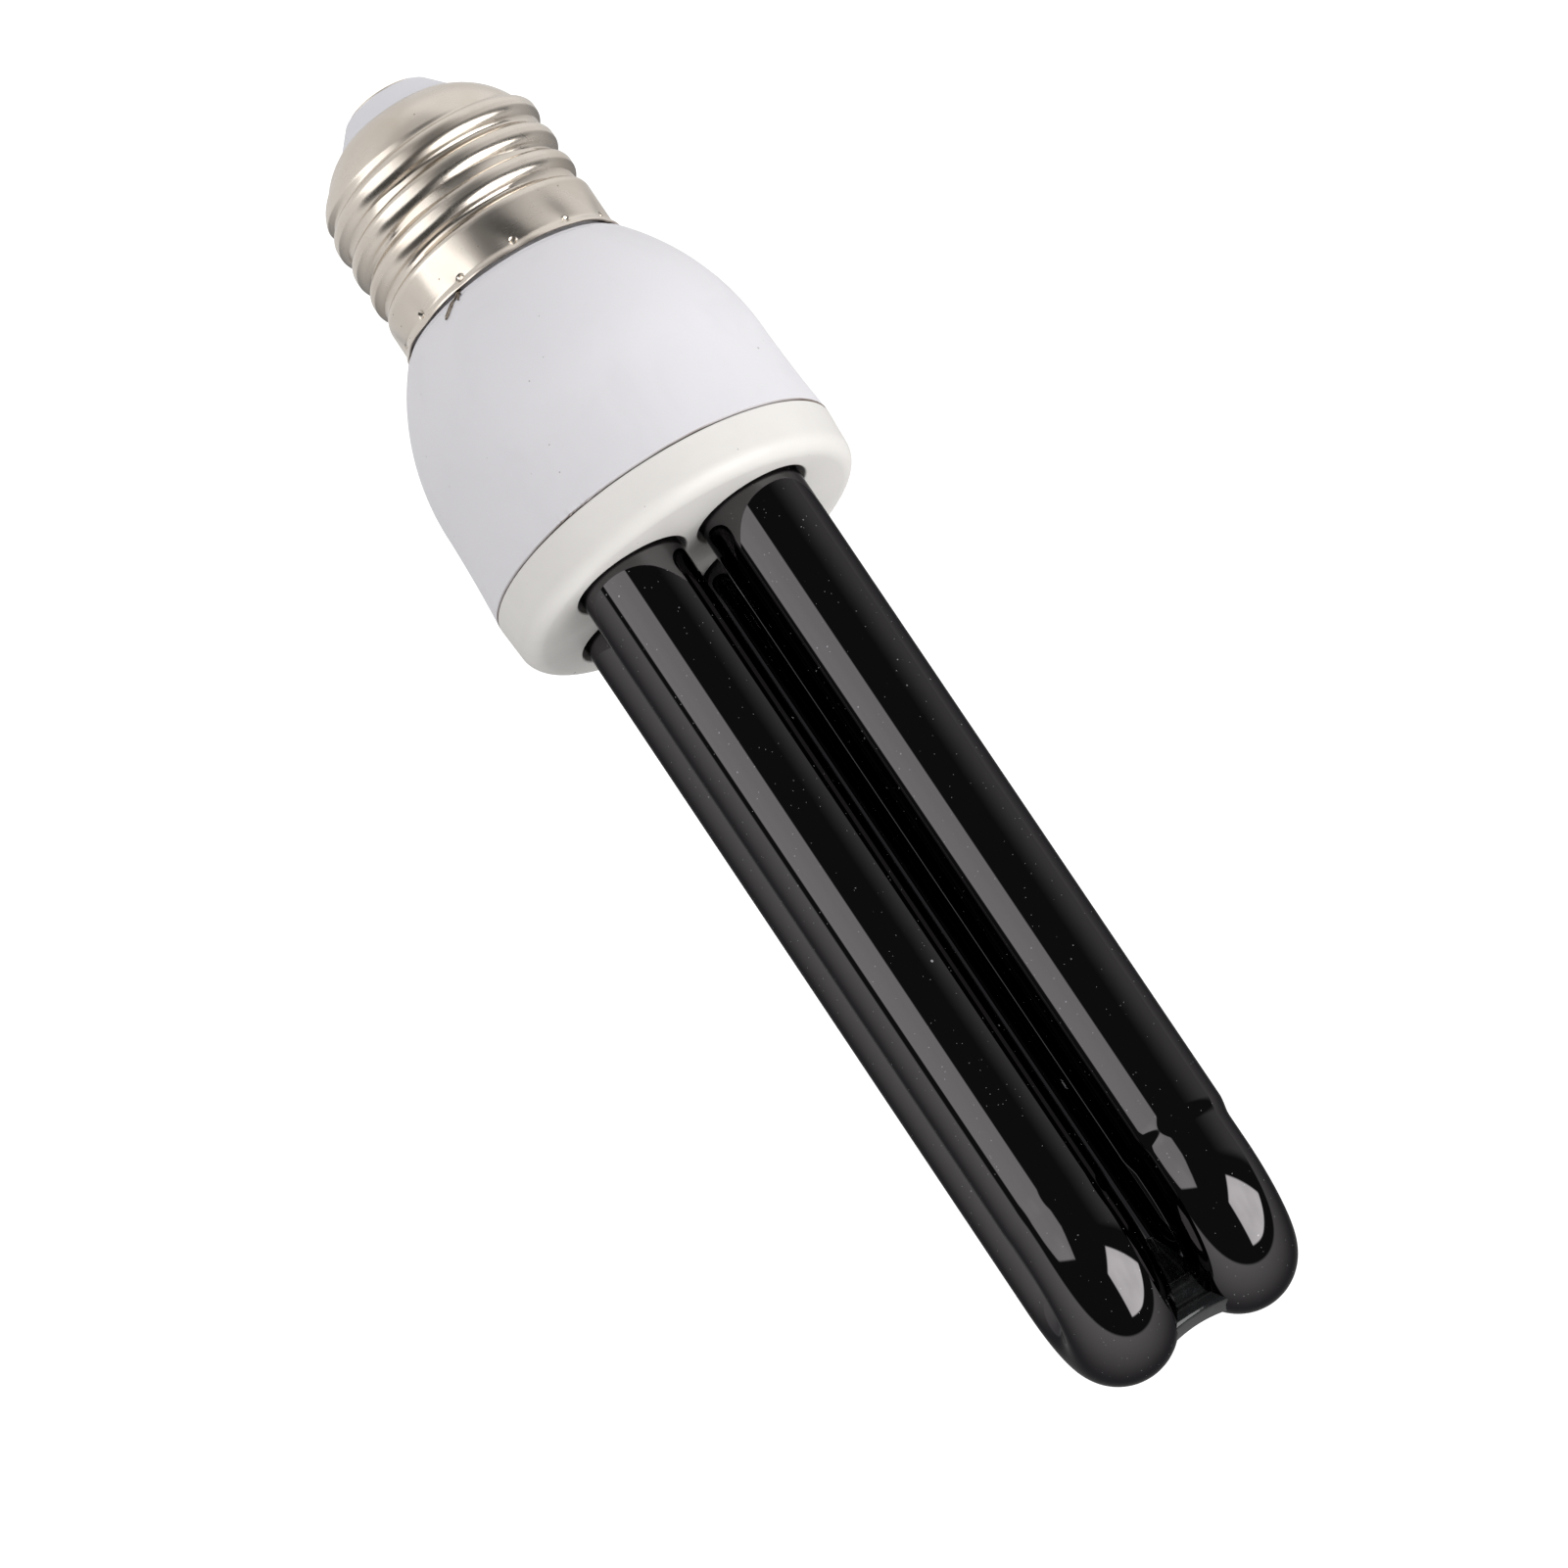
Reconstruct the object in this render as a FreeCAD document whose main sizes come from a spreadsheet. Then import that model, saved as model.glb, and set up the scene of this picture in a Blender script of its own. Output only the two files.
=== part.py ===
import FreeCAD, Part
import math
import os
import Sketcher

# Compact black-light lamp: a screw cap, a two-shell ballast housing with its circuit inside, and a
# twice-bent discharge tube of dark glass.
# Origin: outer face of the centre contact. +Z runs along the axis to the tips of the tube. Millimetres.

SIZES = [
    # centre contact and its insulator
    ("contact_radius", 4.6, "radius of the contact disc"),
    ("contact_thickness", 0.4, "thickness of the contact disc"),
    ("contact_rounding", 0.25, "rounding of the disc's outer edge"),
    ("contact_margin", 0.5, "flat of the insulator that shows round the disc"),
    ("stem_radius", 1.45, "hollow stem that passes through the insulator"),
    ("stem_flange", 0.85, "how far the stem's end is spread over the insulator"),
    ("stem_end", 0.5, "height of that spread end"),
    ("insulator_rounding", 0.28, "how far the rounding between that flat and the cone reaches"),
    ("insulator_depth", 3.9, "thickness of the insulator round the stem"),
    ("insulator_gap", 0.04, "clearance between insulator and shell"),
    ("lip_width", 1.7, "how far the insulator spreads behind the shell's edge"),
    ("lip_rise", 1.4, "height over which it spreads"),
    ("lip_thickness", 1.0, "thickness of the spread edge"),
    ("lip_bevel", 0.5, "slope of that edge"),
    ("flange_room", 1.0, "flat round the contact's flange"),
    ("flange_bevel", 0.3, "slope of the flange's edge"),
    # screw shell
    ("sheet", 0.3, "thickness of the shell's sheet"),
    ("shell_mouth_radius", 7.5, "edge of the shell against the insulator"),
    ("shell_mouth_height", 3.3, "height of that edge"),
    ("shell_shoulder", 5.3, "height of the shell's domed shoulder"),
    ("dome_radius", 9.4, "radius of the domed shoulder"),
    ("thread_crest", 13.05, "crest radius of the round thread"),
    ("thread_depth", 0.95, "depth of the round thread"),
    ("thread_pitch", 3.629, "pitch, seven turns to the inch"),
    ("thread_length", 14.0, "height of the threaded stretch"),
    ("thread_phase", 2.95, "height above the shoulder of a crest on the +X side"),
    ("thread_lead_in", 1.15, "how far the thread begins before the shoulder's end"),
    ("thread_run_out", 0.67, "how far the thread ends before the skirt"),
    ("skirt_length", 3.9, "length of the plain skirt"),
    ("rim_flare", 0.35, "how far the skirt's edge turns outwards"),
    ("crimp_count", 12, "dents that grip the housing neck"),
    ("crimp_drop", 1.2, "distance of the dents from the skirt's edge"),
    ("crimp_radius", 0.75, "radius of each dent"),
    ("crimp_depth", 0.5, "how deep a dent is pressed in"),
    ("crimp_turn", 25.65, "angle of the first dent about the axis"),
    ("notch_inset", 0.5, "how far outside the neck the notches for the dents are centred"),
    ("exit_turn", -58.35, "angle of the notch that lets the neutral lead out"),
    # upper housing
    ("neck_gap", 0.1, "clearance between neck and skirt"),
    ("neck_length", 3.7, "how far the neck reaches into the skirt"),
    ("neck_wall", 1.3, "wall of the neck"),
    ("shoulder_lip", 0.2, "how far the small shoulder stands outside the thread"),
    ("shoulder_rise", 0.8, "height of that shoulder above the skirt's edge"),
    ("dome_step", 0.68, "how far the dome begins outside the shoulder"),
    ("dome_rise", 17.7, "height of the dome"),
    ("body_rise", 11.1, "height from the dome to the seam"),
    ("body_sweep", 165.0, "radius of the slight hollow below the dome"),
    ("seam_flare", 0.68, "how far the seam stands outside the dome's end"),
    ("seam_step", 1.88, "width of the seam's face outside the spigot"),
    ("housing_wall", 1.5, "wall of the dome"),
    ("spigot_gap", 0.1, "clearance round the spigot"),
    ("snap_drop", 3.5, "distance of the snap bead from the seam"),
    ("snap_size", 0.45, "how far the snap bead stands out"),
    # lower housing
    ("band_inset", 0.28, "taper of the band towards the face"),
    ("corner_radius", 2.05, "rounding between band and face"),
    ("face_rise", 5.85, "height of the face above the seam"),
    ("face_wall", 2.0, "thickness of that face"),
    ("spigot_length", 6.3, "length of the spigot"),
    ("spigot_wall", 1.15, "wall of the spigot"),
    ("leg_margin", 1.185, "room between the legs and the spigot's bore"),
    ("tube_gap", 0.55, "gap round each tube in the face"),
    ("clip_width", 3.4, "width of a board clip"),
    ("clip_hook", 0.4, "how far a clip's hook holds the board"),
    ("clip_shelf", 1.1, "how far the board rests on a clip"),
    ("hook_gap", 0.05, "room between the board and a clip's hook"),
    ("clip_tip", 1.0, "length of the hook's sloping tip"),
    ("clip_lead_in", 0.3, "how far that tip opens outside the board"),
    ("clip_root", 0.7, "height of the clip's root inside the spigot"),
    ("clip_sink", 0.5, "how far the root runs into the spigot's wall"),
    ("clip_slope", 0.9, "height of the slope under the board"),
    # discharge tube
    ("tube_radius", 6.05, "outside of the glass tube"),
    ("leg_gap", 2.7, "gap between two legs side by side"),
    ("leg_insert", 9.85, "how far the legs reach inside the face"),
    ("leg_length", 97.3, "straight length of each leg"),
    ("foot_rounding", 2.2, "rounding of the closed ends"),
    ("seal_length", 1.9, "length of the flat press seals"),
    ("seal_width", 7.0, "width of a press seal"),
    ("seal_thickness", 2.4, "thickness of a press seal"),
    ("bridge_radius", 3.2, "short tube that joins the two bends' legs"),
    ("bridge_gap", 0.45, "room between that short tube and the face"),
    ("waist_drop", 1.4, "distance of the slight waist from each bend"),
    ("waist_depth", 0.25, "depth of the waist"),
    ("waist_gap", 0.05, "room between a waist's hollow and the next leg"),
    # adhesive and cement
    ("adhesive_drop", 1.0, "distance of the adhesive's edges from the tip"),
    ("adhesive_height", 10.6, "height of the drop of adhesive"),
    ("adhesive_width", 5.4, "its width across the two bends"),
    ("adhesive_hollow", 4.2, "radius of its hollow surface"),
    ("adhesive_sink", 1.1, "depth of that hollow"),
    ("cement_inset", 1.55, "distance of the cement from the face"),
    ("cement_height", 3.8, "thickness of the cement"),
    ("cement_gap", 0.05, "clearance between cement and wall"),
    # circuit board
    ("board_stand", 2.2, "distance of the board from the spigot's end"),
    ("board_thickness", 1.6, "thickness of the board"),
    ("board_margin", 1.25, "room between board and wall"),
    ("board_clearance", 0.1, "clearance round the board in its clips"),
    ("hole_radius", 0.45, "lead holes"),
    ("lead_radius", 0.3, "component leads"),
    ("lead_tail", 1.2, "length of a lead beyond the board"),
    ("solder_radius", 0.9, "foot of a soldered joint"),
    ("solder_height", 0.8, "height of that foot"),
    ("pin_size", 0.8, "side of a square wrap pin"),
    ("pin_length", 6.4, "length of a wrap pin"),
    ("pin_top", 1.6, "how far a wrap pin stands over the board's component side"),
    ("wire_radius", 0.25, "electrode leads"),
    ("live_radius", 0.6, "live lead with its sleeve"),
    ("live_gap", 0.05, "clearance round the live lead"),
    ("neutral_radius", 0.28, "bare neutral lead"),
    ("neutral_gap", 0.04, "clearance over the neutral lead"),
]

doc = FreeCAD.newDocument("Lamp")
sheet = doc.addObject("Spreadsheet::Sheet", "Sizes")
for row, (alias, number, note) in enumerate(SIZES, start=1):
    sheet.set("A%d" % row, alias)
    sheet.set("B%d" % row, str(number))
    sheet.set("C%d" % row, note)
    sheet.setAlias("B%d" % row, alias)
doc.recompute()


class Length:
    """A number together with the sheet expression that gives it."""

    def __init__(self, number, text):
        self.number = number
        self.text = text

    def combine(self, other, sign, swapped=False):
        """The two values joined by an arithmetic sign."""
        first, second = (as_length(other), self) if swapped else (self, as_length(other))
        if sign == "+":
            number = first.number + second.number
        elif sign == "-":
            number = first.number - second.number
        elif sign == "*":
            number = first.number * second.number
        else:
            number = first.number / second.number
        return Length(number, "(%s %s %s)" % (first.text, sign, second.text))

    def __add__(self, other):
        return self.combine(other, "+")

    def __radd__(self, other):
        return self.combine(other, "+", True)

    def __sub__(self, other):
        return self.combine(other, "-")

    def __rsub__(self, other):
        return self.combine(other, "-", True)

    def __mul__(self, other):
        return self.combine(other, "*")

    def __rmul__(self, other):
        return self.combine(other, "*", True)

    def __truediv__(self, other):
        return self.combine(other, "/")

    def __neg__(self):
        return Length(-self.number, "(0 - %s)" % self.text)


def as_length(value):
    """A plain number as a Length."""
    return value if isinstance(value, Length) else Length(float(value), "%.6g" % value)


def root(value):
    """Square root of a length squared."""
    return Length(math.sqrt(value.number), "sqrt(%s)" % value.text)


def cosine(angle):
    """Cosine of an angle in degrees."""
    return Length(math.cos(math.radians(angle.number)), "cos(%s)" % angle.text)


def sine(angle):
    """Sine of an angle in degrees."""
    return Length(math.sin(math.radians(angle.number)), "sin(%s)" % angle.text)


def smallest(values):
    """The smallest of several values."""
    return Length(min(v.number for v in values), "min(%s)" % "; ".join(v.text for v in values))


class Cells:
    """The sheet's sizes by name."""

    def __getattr__(self, alias):
        return Length(float(sheet.get(alias)), "Sizes.%s" % alias)


S = Cells()
PIECES = {}

# Radii and heights that follow from the sizes, from the contact to the tips.

insulator_top = S.contact_radius + S.contact_margin
flange_radius = S.stem_radius + S.stem_flange
stem_bore = S.live_radius + S.live_gap
thread_root = S.thread_crest - S.thread_depth
shoulder_end = S.shell_mouth_height + S.shell_shoulder
crest_height = shoulder_end + S.thread_phase
skirt_start = shoulder_end + S.thread_length
rim_height = skirt_start + S.skirt_length
crimp_height = rim_height - S.crimp_drop

neck_radius = S.thread_crest - S.sheet - S.neck_gap
neck_bore = neck_radius - S.neck_wall
neck_start = rim_height - S.neck_length
neck_end = rim_height + S.neck_gap
shoulder_radius = S.thread_crest + S.shoulder_lip
shoulder_height = rim_height + S.shoulder_rise
dome_foot = shoulder_radius + S.dome_step
body_height = shoulder_height + S.dome_rise
seam_height = body_height + S.body_rise
face_height = seam_height + S.face_rise
face_inside = face_height - S.face_wall

leg_offset = S.tube_radius + S.leg_gap / 2
legs_reach = math.sqrt(2.0) * leg_offset + S.tube_radius
spigot_bore = legs_reach + S.leg_margin
spigot_radius = spigot_bore + S.spigot_wall
spigot_start = seam_height - S.spigot_length
snap_height = seam_height - S.snap_drop
seam_radius = spigot_radius + S.seam_step
body_radius = seam_radius - S.seam_flare
body_bore = body_radius - S.housing_wall

leg_foot = face_height - S.leg_insert
seal_height = leg_foot - S.seal_length
bend_height = leg_foot + S.leg_length
tip_height = bend_height + leg_offset + S.tube_radius
bridge_height = face_inside - S.bridge_gap - S.bridge_radius

board_under = spigot_start - S.board_stand
board_height = board_under - S.board_thickness
board_radius = body_bore - S.board_margin


def keep(obj, label):
    """Name a finished sub-part, which also names its file."""
    obj.Label = label
    PIECES[label] = obj
    return obj


def bind(obj, **values):
    """Set properties of a feature from lengths."""
    for name, value in values.items():
        length = as_length(value)
        setattr(obj, name, length.number)
        obj.setExpression(name, length.text)
    return obj


def place(obj, x, y, z, turn=0.0, axis=(0, 0, 1)):
    """Put a primitive in place, bound to the sheet."""
    spot = [as_length(v) for v in (x, y, z)]
    rotation = FreeCAD.Rotation(FreeCAD.Vector(*axis), turn)
    obj.Placement = FreeCAD.Placement(FreeCAD.Vector(*[v.number for v in spot]), rotation)
    for name, value in zip("xyz", spot):
        obj.setExpression("Placement.Base.%s" % name, value.text)
    return obj


def make_body(label):
    """An empty body that is a sub-part."""
    return keep(doc.addObject("PartDesign::Body", "Body_" + label), label)


def plane_of(body, role):
    """One of the body's own origin planes."""
    for feature in body.Origin.OriginFeatures:
        if feature.Role == role:
            return feature
    raise ValueError(role)


def make_sketch(body, name, role="XZ_Plane", offset=None):
    """A sketch on one of the body's origin planes, moved along its normal."""
    sketch = body.newObject("Sketcher::SketchObject", name)
    sketch.AttachmentSupport = (plane_of(body, role), [""])
    sketch.MapMode = "FlatFace"
    if offset is not None:
        length = as_length(offset)
        shift = FreeCAD.Vector(0, 0, length.number)
        sketch.AttachmentOffset = FreeCAD.Placement(shift, FreeCAD.Rotation())
        sketch.setExpression("AttachmentOffset.Base.z", length.text)
    return sketch


def fix(sketch, kind, values, length):
    """Add one dimension and tie it to the sheet."""
    number = sketch.addConstraint(Sketcher.Constraint(kind, *values, length.number))
    sketch.setExpression("Constraints[%d]" % number, length.text)


def pin_point(sketch, geometry, end, x, y):
    """Fix a vertex at x, y from the sketch origin."""
    for kind, axis, length in (("DistanceX", -2, as_length(x)), ("DistanceY", -1, as_length(y))):
        if length.number == 0.0:
            sketch.addConstraint(Sketcher.Constraint("PointOnObject", geometry, end, axis))
        else:
            fix(sketch, kind, (-1, 1, geometry, end), length)


def arc_centre(start, end, radius):
    """Centre of the arc; a positive radius turns left on the way from start to end."""
    chord = end - start
    half = chord.Length / 2.0
    rise = math.sqrt(max(radius * radius - half * half, 0.0))
    left = FreeCAD.Vector(-chord.y, chord.x, 0).normalize()
    return (start + end) * 0.5 + left * math.copysign(rise, radius)


def outline(sketch, corners, closed=True):
    """Draw an outline. A corner is (x, y), or (x, y, radius) when an arc leads to it."""
    points = [FreeCAD.Vector(as_length(c[0]).number, as_length(c[1]).number, 0) for c in corners]
    count = len(corners) if closed else len(corners) - 1
    first = sketch.GeometryCount
    ends = []
    for index in range(count):
        target = (index + 1) % len(corners)
        start, end = points[index], points[target]
        if len(corners[target]) == 2:
            sketch.addGeometry(Part.LineSegment(start, end), False)
            ends.append((1, 2))
            continue
        radius = as_length(corners[target][2])
        centre = arc_centre(start, end, radius.number)
        circle = Part.Circle(centre, FreeCAD.Vector(0, 0, 1), abs(radius.number))
        angles = [math.atan2((p - centre).y, (p - centre).x) for p in (start, end)]
        if radius.number < 0:
            angles.reverse()
        if angles[1] < angles[0]:
            angles[1] += 2.0 * math.pi
        geometry = sketch.addGeometry(Part.ArcOfCircle(circle, *angles), False)
        ends.append((2, 1) if radius.number < 0 else (1, 2))
        size = radius if radius.number > 0 else -radius
        fix(sketch, "Radius", (geometry,), size)
    for index in range(count):
        pin_point(sketch, first + index, ends[index][0], corners[index][0], corners[index][1])
        follower = (index + 1) % count
        if closed or follower:
            link = (first + index, ends[index][1], first + follower, ends[follower][0])
            sketch.addConstraint(Sketcher.Constraint("Coincident", *link))
        else:
            last = corners[-1]
            pin_point(sketch, first + index, ends[index][1], last[0], last[1])
    return sketch


def circles(sketch, spots, radius):
    """Draw circles of one radius at the given places."""
    for x, y in spots:
        spot = FreeCAD.Vector(as_length(x).number, as_length(y).number, 0)
        circle = Part.Circle(spot, FreeCAD.Vector(0, 0, 1), as_length(radius).number)
        geometry = sketch.addGeometry(circle, False)
        pin_point(sketch, geometry, 3, x, y)
        fix(sketch, "Radius", (geometry,), as_length(radius))
    return sketch


def revolve(body, name, corners, kind="PartDesign::Revolution"):
    """Turn an outline of (radius, height) corners about the lamp's axis."""
    sketch = outline(make_sketch(body, name + "Sketch"), corners)
    feature = body.newObject(kind, name)
    feature.Profile = sketch
    feature.ReferenceAxis = (sketch, ["V_Axis"])
    feature.Angle = 360
    return feature


def pad(body, name, sketch, length, symmetric=False, reverse=False):
    """Add material on a sketch."""
    feature = body.newObject("PartDesign::Pad", name)
    feature.Profile = sketch
    bind(feature, Length=length)
    if symmetric:
        feature.Midplane = True
    feature.Reversed = reverse
    return feature


def pocket(body, name, sketch, length, symmetric=False, reverse=False):
    """Cut material away on a sketch."""
    feature = body.newObject("PartDesign::Pocket", name)
    feature.Profile = sketch
    bind(feature, Length=length)
    if symmetric:
        feature.Midplane = True
    feature.Reversed = reverse
    return feature


def polar(body, name, features, count, angle=360.0):
    """Repeat features about the lamp's axis."""
    pattern = body.newObject("PartDesign::PolarPattern", name)
    pattern.Originals = features
    pattern.Axis = (axis_of(body, "Z_Axis"), [""])
    pattern.Angle = angle
    pattern.Occurrences = int(as_length(count).number)
    pattern.setExpression("Occurrences", as_length(count).text)
    body.Tip = pattern
    return pattern


def axis_of(body, role):
    """One of the body's own origin axes."""
    for feature in body.Origin.OriginFeatures:
        if feature.Role == role:
            return feature
    raise ValueError(role)


def box(name, length, width, height, x, y, z):
    """A block given by its size and lowest corner."""
    block = doc.addObject("Part::Box", name)
    bind(block, Length=length, Width=width, Height=height)
    return place(block, x, y, z)


def cylinder(name, radius, height, x, y, z, turn=0.0, axis=(0, 0, 1)):
    """A round bar standing on its lower end."""
    bar = doc.addObject("Part::Cylinder", name)
    bind(bar, Radius=radius, Height=height)
    return place(bar, x, y, z, turn, axis)


def cone(name, low_radius, high_radius, height, x, y, z):
    """A truncated cone standing on its lower end."""
    shape = doc.addObject("Part::Cone", name)
    bind(shape, Radius1=low_radius, Radius2=high_radius, Height=height)
    return place(shape, x, y, z)


def fuse(label, shapes):
    """One solid of several that touch."""
    joined = doc.addObject("Part::MultiFuse", "Fuse_" + label)
    joined.Shapes = shapes
    joined.Refine = True
    return keep(joined, label)


def cut(name, base, tool):
    """Base without tool."""
    result = doc.addObject("Part::Cut", name)
    result.Base = base
    result.Tool = tool
    return result


# Screw shell: one sheet, rolled into a round thread that fades in on the shoulder and runs out on the skirt.

def smooth(value):
    """Ease from 0 to 1."""
    clipped = min(max(value, 0.0), 1.0)
    return clipped * clipped * (3.0 - 2.0 * clipped)


def dome_profile(height):
    """Radius of the shell's shoulder at a height, below its thread."""
    start = FreeCAD.Vector(S.shell_mouth_radius.number, S.shell_mouth_height.number, 0)
    end = FreeCAD.Vector(thread_root.number, shoulder_end.number, 0)
    if height >= end.y:
        return end.x
    centre = arc_centre(start, end, S.dome_radius.number)
    return centre.x + math.sqrt(S.dome_radius.number ** 2 - (height - centre.y) ** 2)


def shell_radius(height, angle):
    """Outer radius of the rolled sheet at a height and an angle about the axis."""
    pitch = S.thread_pitch.number
    depth = S.thread_depth.number
    height_turns = (height - crest_height.number) / pitch
    turns = height_turns - angle / (2.0 * math.pi)
    offset = turns - round(turns)
    crest = 0.5 + 0.5 * math.cos(2.0 * math.pi * offset)
    crest_turn = height_turns - offset
    groove_turn = crest_turn + math.copysign(0.5, offset)
    if height < shoulder_end.number + 0.5 * S.thread_length.number:
        thread_start = -(S.thread_phase.number + S.thread_lead_in.number) / pitch
        fade_in = smooth((crest_turn - thread_start) / FADE_TURNS)
        radius = dome_profile(height) + depth * crest * fade_in
    else:
        thread_end = (skirt_start - S.thread_run_out - crest_height).number / pitch
        fade_out = smooth((thread_end - groove_turn) / FADE_TURNS)
        radius = S.thread_crest.number - depth * (1.0 - crest) * fade_out
    flare = smooth((height - crimp_height.number) / S.crimp_drop.number)
    return radius + S.rim_flare.number * flare


# Turns over which the thread fades in and out, and how closely the rolled surface is drawn.
FADE_TURNS = 0.3
ROUND_STEPS = 48
ROW_STEP = 0.3


def rolled_face(offset):
    """The sheet's outer face, or its inner face at an offset inwards."""
    low = S.shell_mouth_height.number
    high = rim_height.number
    rows = int(round((high - low) / ROW_STEP)) + 1
    turn = 2.0 * math.pi / ROUND_STEPS
    correction = 3.0 / (2.0 + math.cos(turn))
    probe = 0.02
    grid = []
    for step in range(ROUND_STEPS):
        angle = step * turn
        line = []
        for row in range(rows):
            height = low + (high - low) * row / (rows - 1)
            radius = shell_radius(height, angle)
            ahead = shell_radius(min(height + probe, high), angle)
            behind = shell_radius(max(height - probe, low), angle)
            span = min(height + probe, high) - max(height - probe, low)
            slope = (ahead - behind) / span
            length = math.sqrt(1.0 + slope * slope)
            reach = (radius - offset / length) * correction
            spot = (reach * math.cos(angle), reach * math.sin(angle), height + offset * slope / length)
            line.append(FreeCAD.Vector(*spot))
        grid.append(line)
    knots_round = list(range(ROUND_STEPS + 1))
    knots_rows = list(range(rows - 2))
    surface = Part.BSplineSurface()
    surface.buildFromPolesMultsKnots(
        grid, [1] * (ROUND_STEPS + 1), [4] + [1] * (rows - 4) + [4],
        knots_round, knots_rows, True, False, 3, 3)
    return surface.toShape()


def end_edge(face, lowest):
    """The round edge at one end of a rolled face."""
    rounds = [e for e in face.Edges if e.isClosed() and e.BoundBox.ZLength < 1.0]
    rounds.sort(key=lambda e: e.BoundBox.ZMin)
    return rounds[0] if lowest else rounds[-1]


def rolled_shell():
    """The threaded sheet with its crimped skirt."""
    outer = rolled_face(0.0)
    inner = rolled_face(S.sheet.number)
    rings = [Part.makeRuledSurface(end_edge(outer, low), end_edge(inner, low)) for low in (True, False)]
    skin = Part.makeShell([outer, inner] + rings)
    skin.sewShape()
    solid = Part.makeSolid(Part.Shell(skin.Faces))
    if solid.Volume < 0:
        solid.reverse()
    inside = S.thread_crest.number - S.sheet.number
    dent = S.crimp_radius.number
    bumps = []
    dents = []
    for index in range(int(S.crimp_count.number)):
        angle = math.radians(S.crimp_turn.number + index * 360.0 / S.crimp_count.number)
        way = FreeCAD.Vector(math.cos(angle), math.sin(angle), 0)
        lift = FreeCAD.Vector(0, 0, crimp_height.number)
        bump_radius = dent + S.sheet.number
        middle = way * (inside + bump_radius - S.crimp_depth.number) + lift
        dents.append(Part.makeSphere(dent, middle, way, -90, 90, 360))
        ball = Part.makeSphere(bump_radius, middle, way, -90, 90, 360)
        limit = Part.makeCylinder(inside + 0.5 * S.sheet.number, 4.0 * bump_radius,
                                  lift - FreeCAD.Vector(0, 0, 2.0 * bump_radius))
        bumps.append(ball.common(limit))
    return solid.fuse(bumps).cut(dents)


shell = doc.addObject("Part::Feature", "RolledShell")
shell.Shape = rolled_shell()
keep(shell, "screw_shell")

# Insulator: a ring of ceramic that fills the shell's mouth and stands out as a cone.

insulator = make_body("cap_insulator")
lip_radius = S.shell_mouth_radius - S.sheet * 0.8
lip_height = S.shell_mouth_height + S.sheet
lip_middle = lip_height + S.lip_rise
cone_run = S.shell_mouth_radius - insulator_top
cone_rise = S.shell_mouth_height - S.contact_thickness
cone_side = root(cone_run * cone_run + cone_rise * cone_rise)
cone_start = S.insulator_rounding / cone_side
revolve(insulator, "InsulatorTurn", [
    (S.stem_radius, S.contact_thickness),
    (insulator_top - S.insulator_rounding, S.contact_thickness),
    (insulator_top + cone_start * cone_run, S.contact_thickness + cone_start * cone_rise,
     S.insulator_rounding * cone_rise / (cone_side - cone_run)),
    (S.shell_mouth_radius - S.insulator_gap, S.shell_mouth_height - S.insulator_gap),
    (lip_radius - S.insulator_gap, lip_height),
    (lip_radius + S.lip_width, lip_middle),
    (lip_radius + S.lip_width - S.lip_bevel, lip_middle + S.lip_thickness),
    (flange_radius + S.flange_room, S.insulator_depth),
    (S.stem_radius, S.insulator_depth),
])

# Centre contact: a disc with a hollow stem, spread over the insulator's inner face.

contact = make_body("centre_contact")
stem_top = S.insulator_depth + S.stem_end
stem_floor = S.contact_thickness * 2
revolve(contact, "ContactTurn", [
    (0, 0),
    (S.contact_radius - S.contact_rounding, 0),
    (S.contact_radius, S.contact_rounding, S.contact_rounding),
    (S.contact_radius, S.contact_thickness),
    (S.stem_radius, S.contact_thickness),
    (S.stem_radius, S.insulator_depth),
    (flange_radius, S.insulator_depth),
    (flange_radius - S.flange_bevel, stem_top),
    (stem_bore, stem_top),
    (stem_bore, stem_floor),
    (0, stem_floor),
])

# Upper housing: neck, small shoulder, dome and wall, with the neck recessed where the skirt is crimped.

upper = make_body("upper_housing")
dome_spread = body_radius - dome_foot
bowl_radius = (dome_spread * dome_spread + S.dome_rise * S.dome_rise) / (2.0 * dome_spread)
bowl_centre = body_radius - bowl_radius
inner_bowl = bowl_radius - S.housing_wall
inner_rise = S.dome_rise - S.housing_wall * 0.7
inner_foot = bowl_centre + root(inner_bowl * inner_bowl - inner_rise * inner_rise)
socket_radius = spigot_radius + S.spigot_gap
bead_half = S.snap_size * 1.4
revolve(upper, "UpperTurn", [
    (neck_bore, neck_start),
    (neck_radius, neck_start),
    (neck_radius, neck_end),
    (shoulder_radius, neck_end),
    (shoulder_radius, shoulder_height),
    (dome_foot, shoulder_height),
    (body_radius, body_height, bowl_radius),
    (seam_radius, seam_height, -S.body_sweep),
    (socket_radius, seam_height),
    (socket_radius, snap_height + bead_half),
    (socket_radius + S.snap_size, snap_height),
    (socket_radius, snap_height - bead_half),
    (socket_radius, spigot_start - S.spigot_gap),
    (body_bore, spigot_start - S.spigot_gap),
    (body_bore, body_height),
    (inner_foot, body_height - inner_rise, -inner_bowl),
    (neck_bore, neck_end),
])
notch_reach = neck_radius + S.notch_inset
notch_sketch = make_sketch(upper, "NotchSketch", "XY_Plane", neck_start)
circles(notch_sketch, [(notch_reach * cosine(S.crimp_turn), notch_reach * sine(S.crimp_turn))],
        S.crimp_radius + S.sheet + S.neck_gap)
notch = pocket(upper, "CrimpNotch", notch_sketch, S.neck_length - S.neck_gap, reverse=True)
doc.recompute()
polar(upper, "CrimpNotches", [notch], S.crimp_count)
exit_reach = neck_radius - S.neck_gap
exit_sketch = make_sketch(upper, "ExitSketch", "XY_Plane", neck_start)
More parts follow.
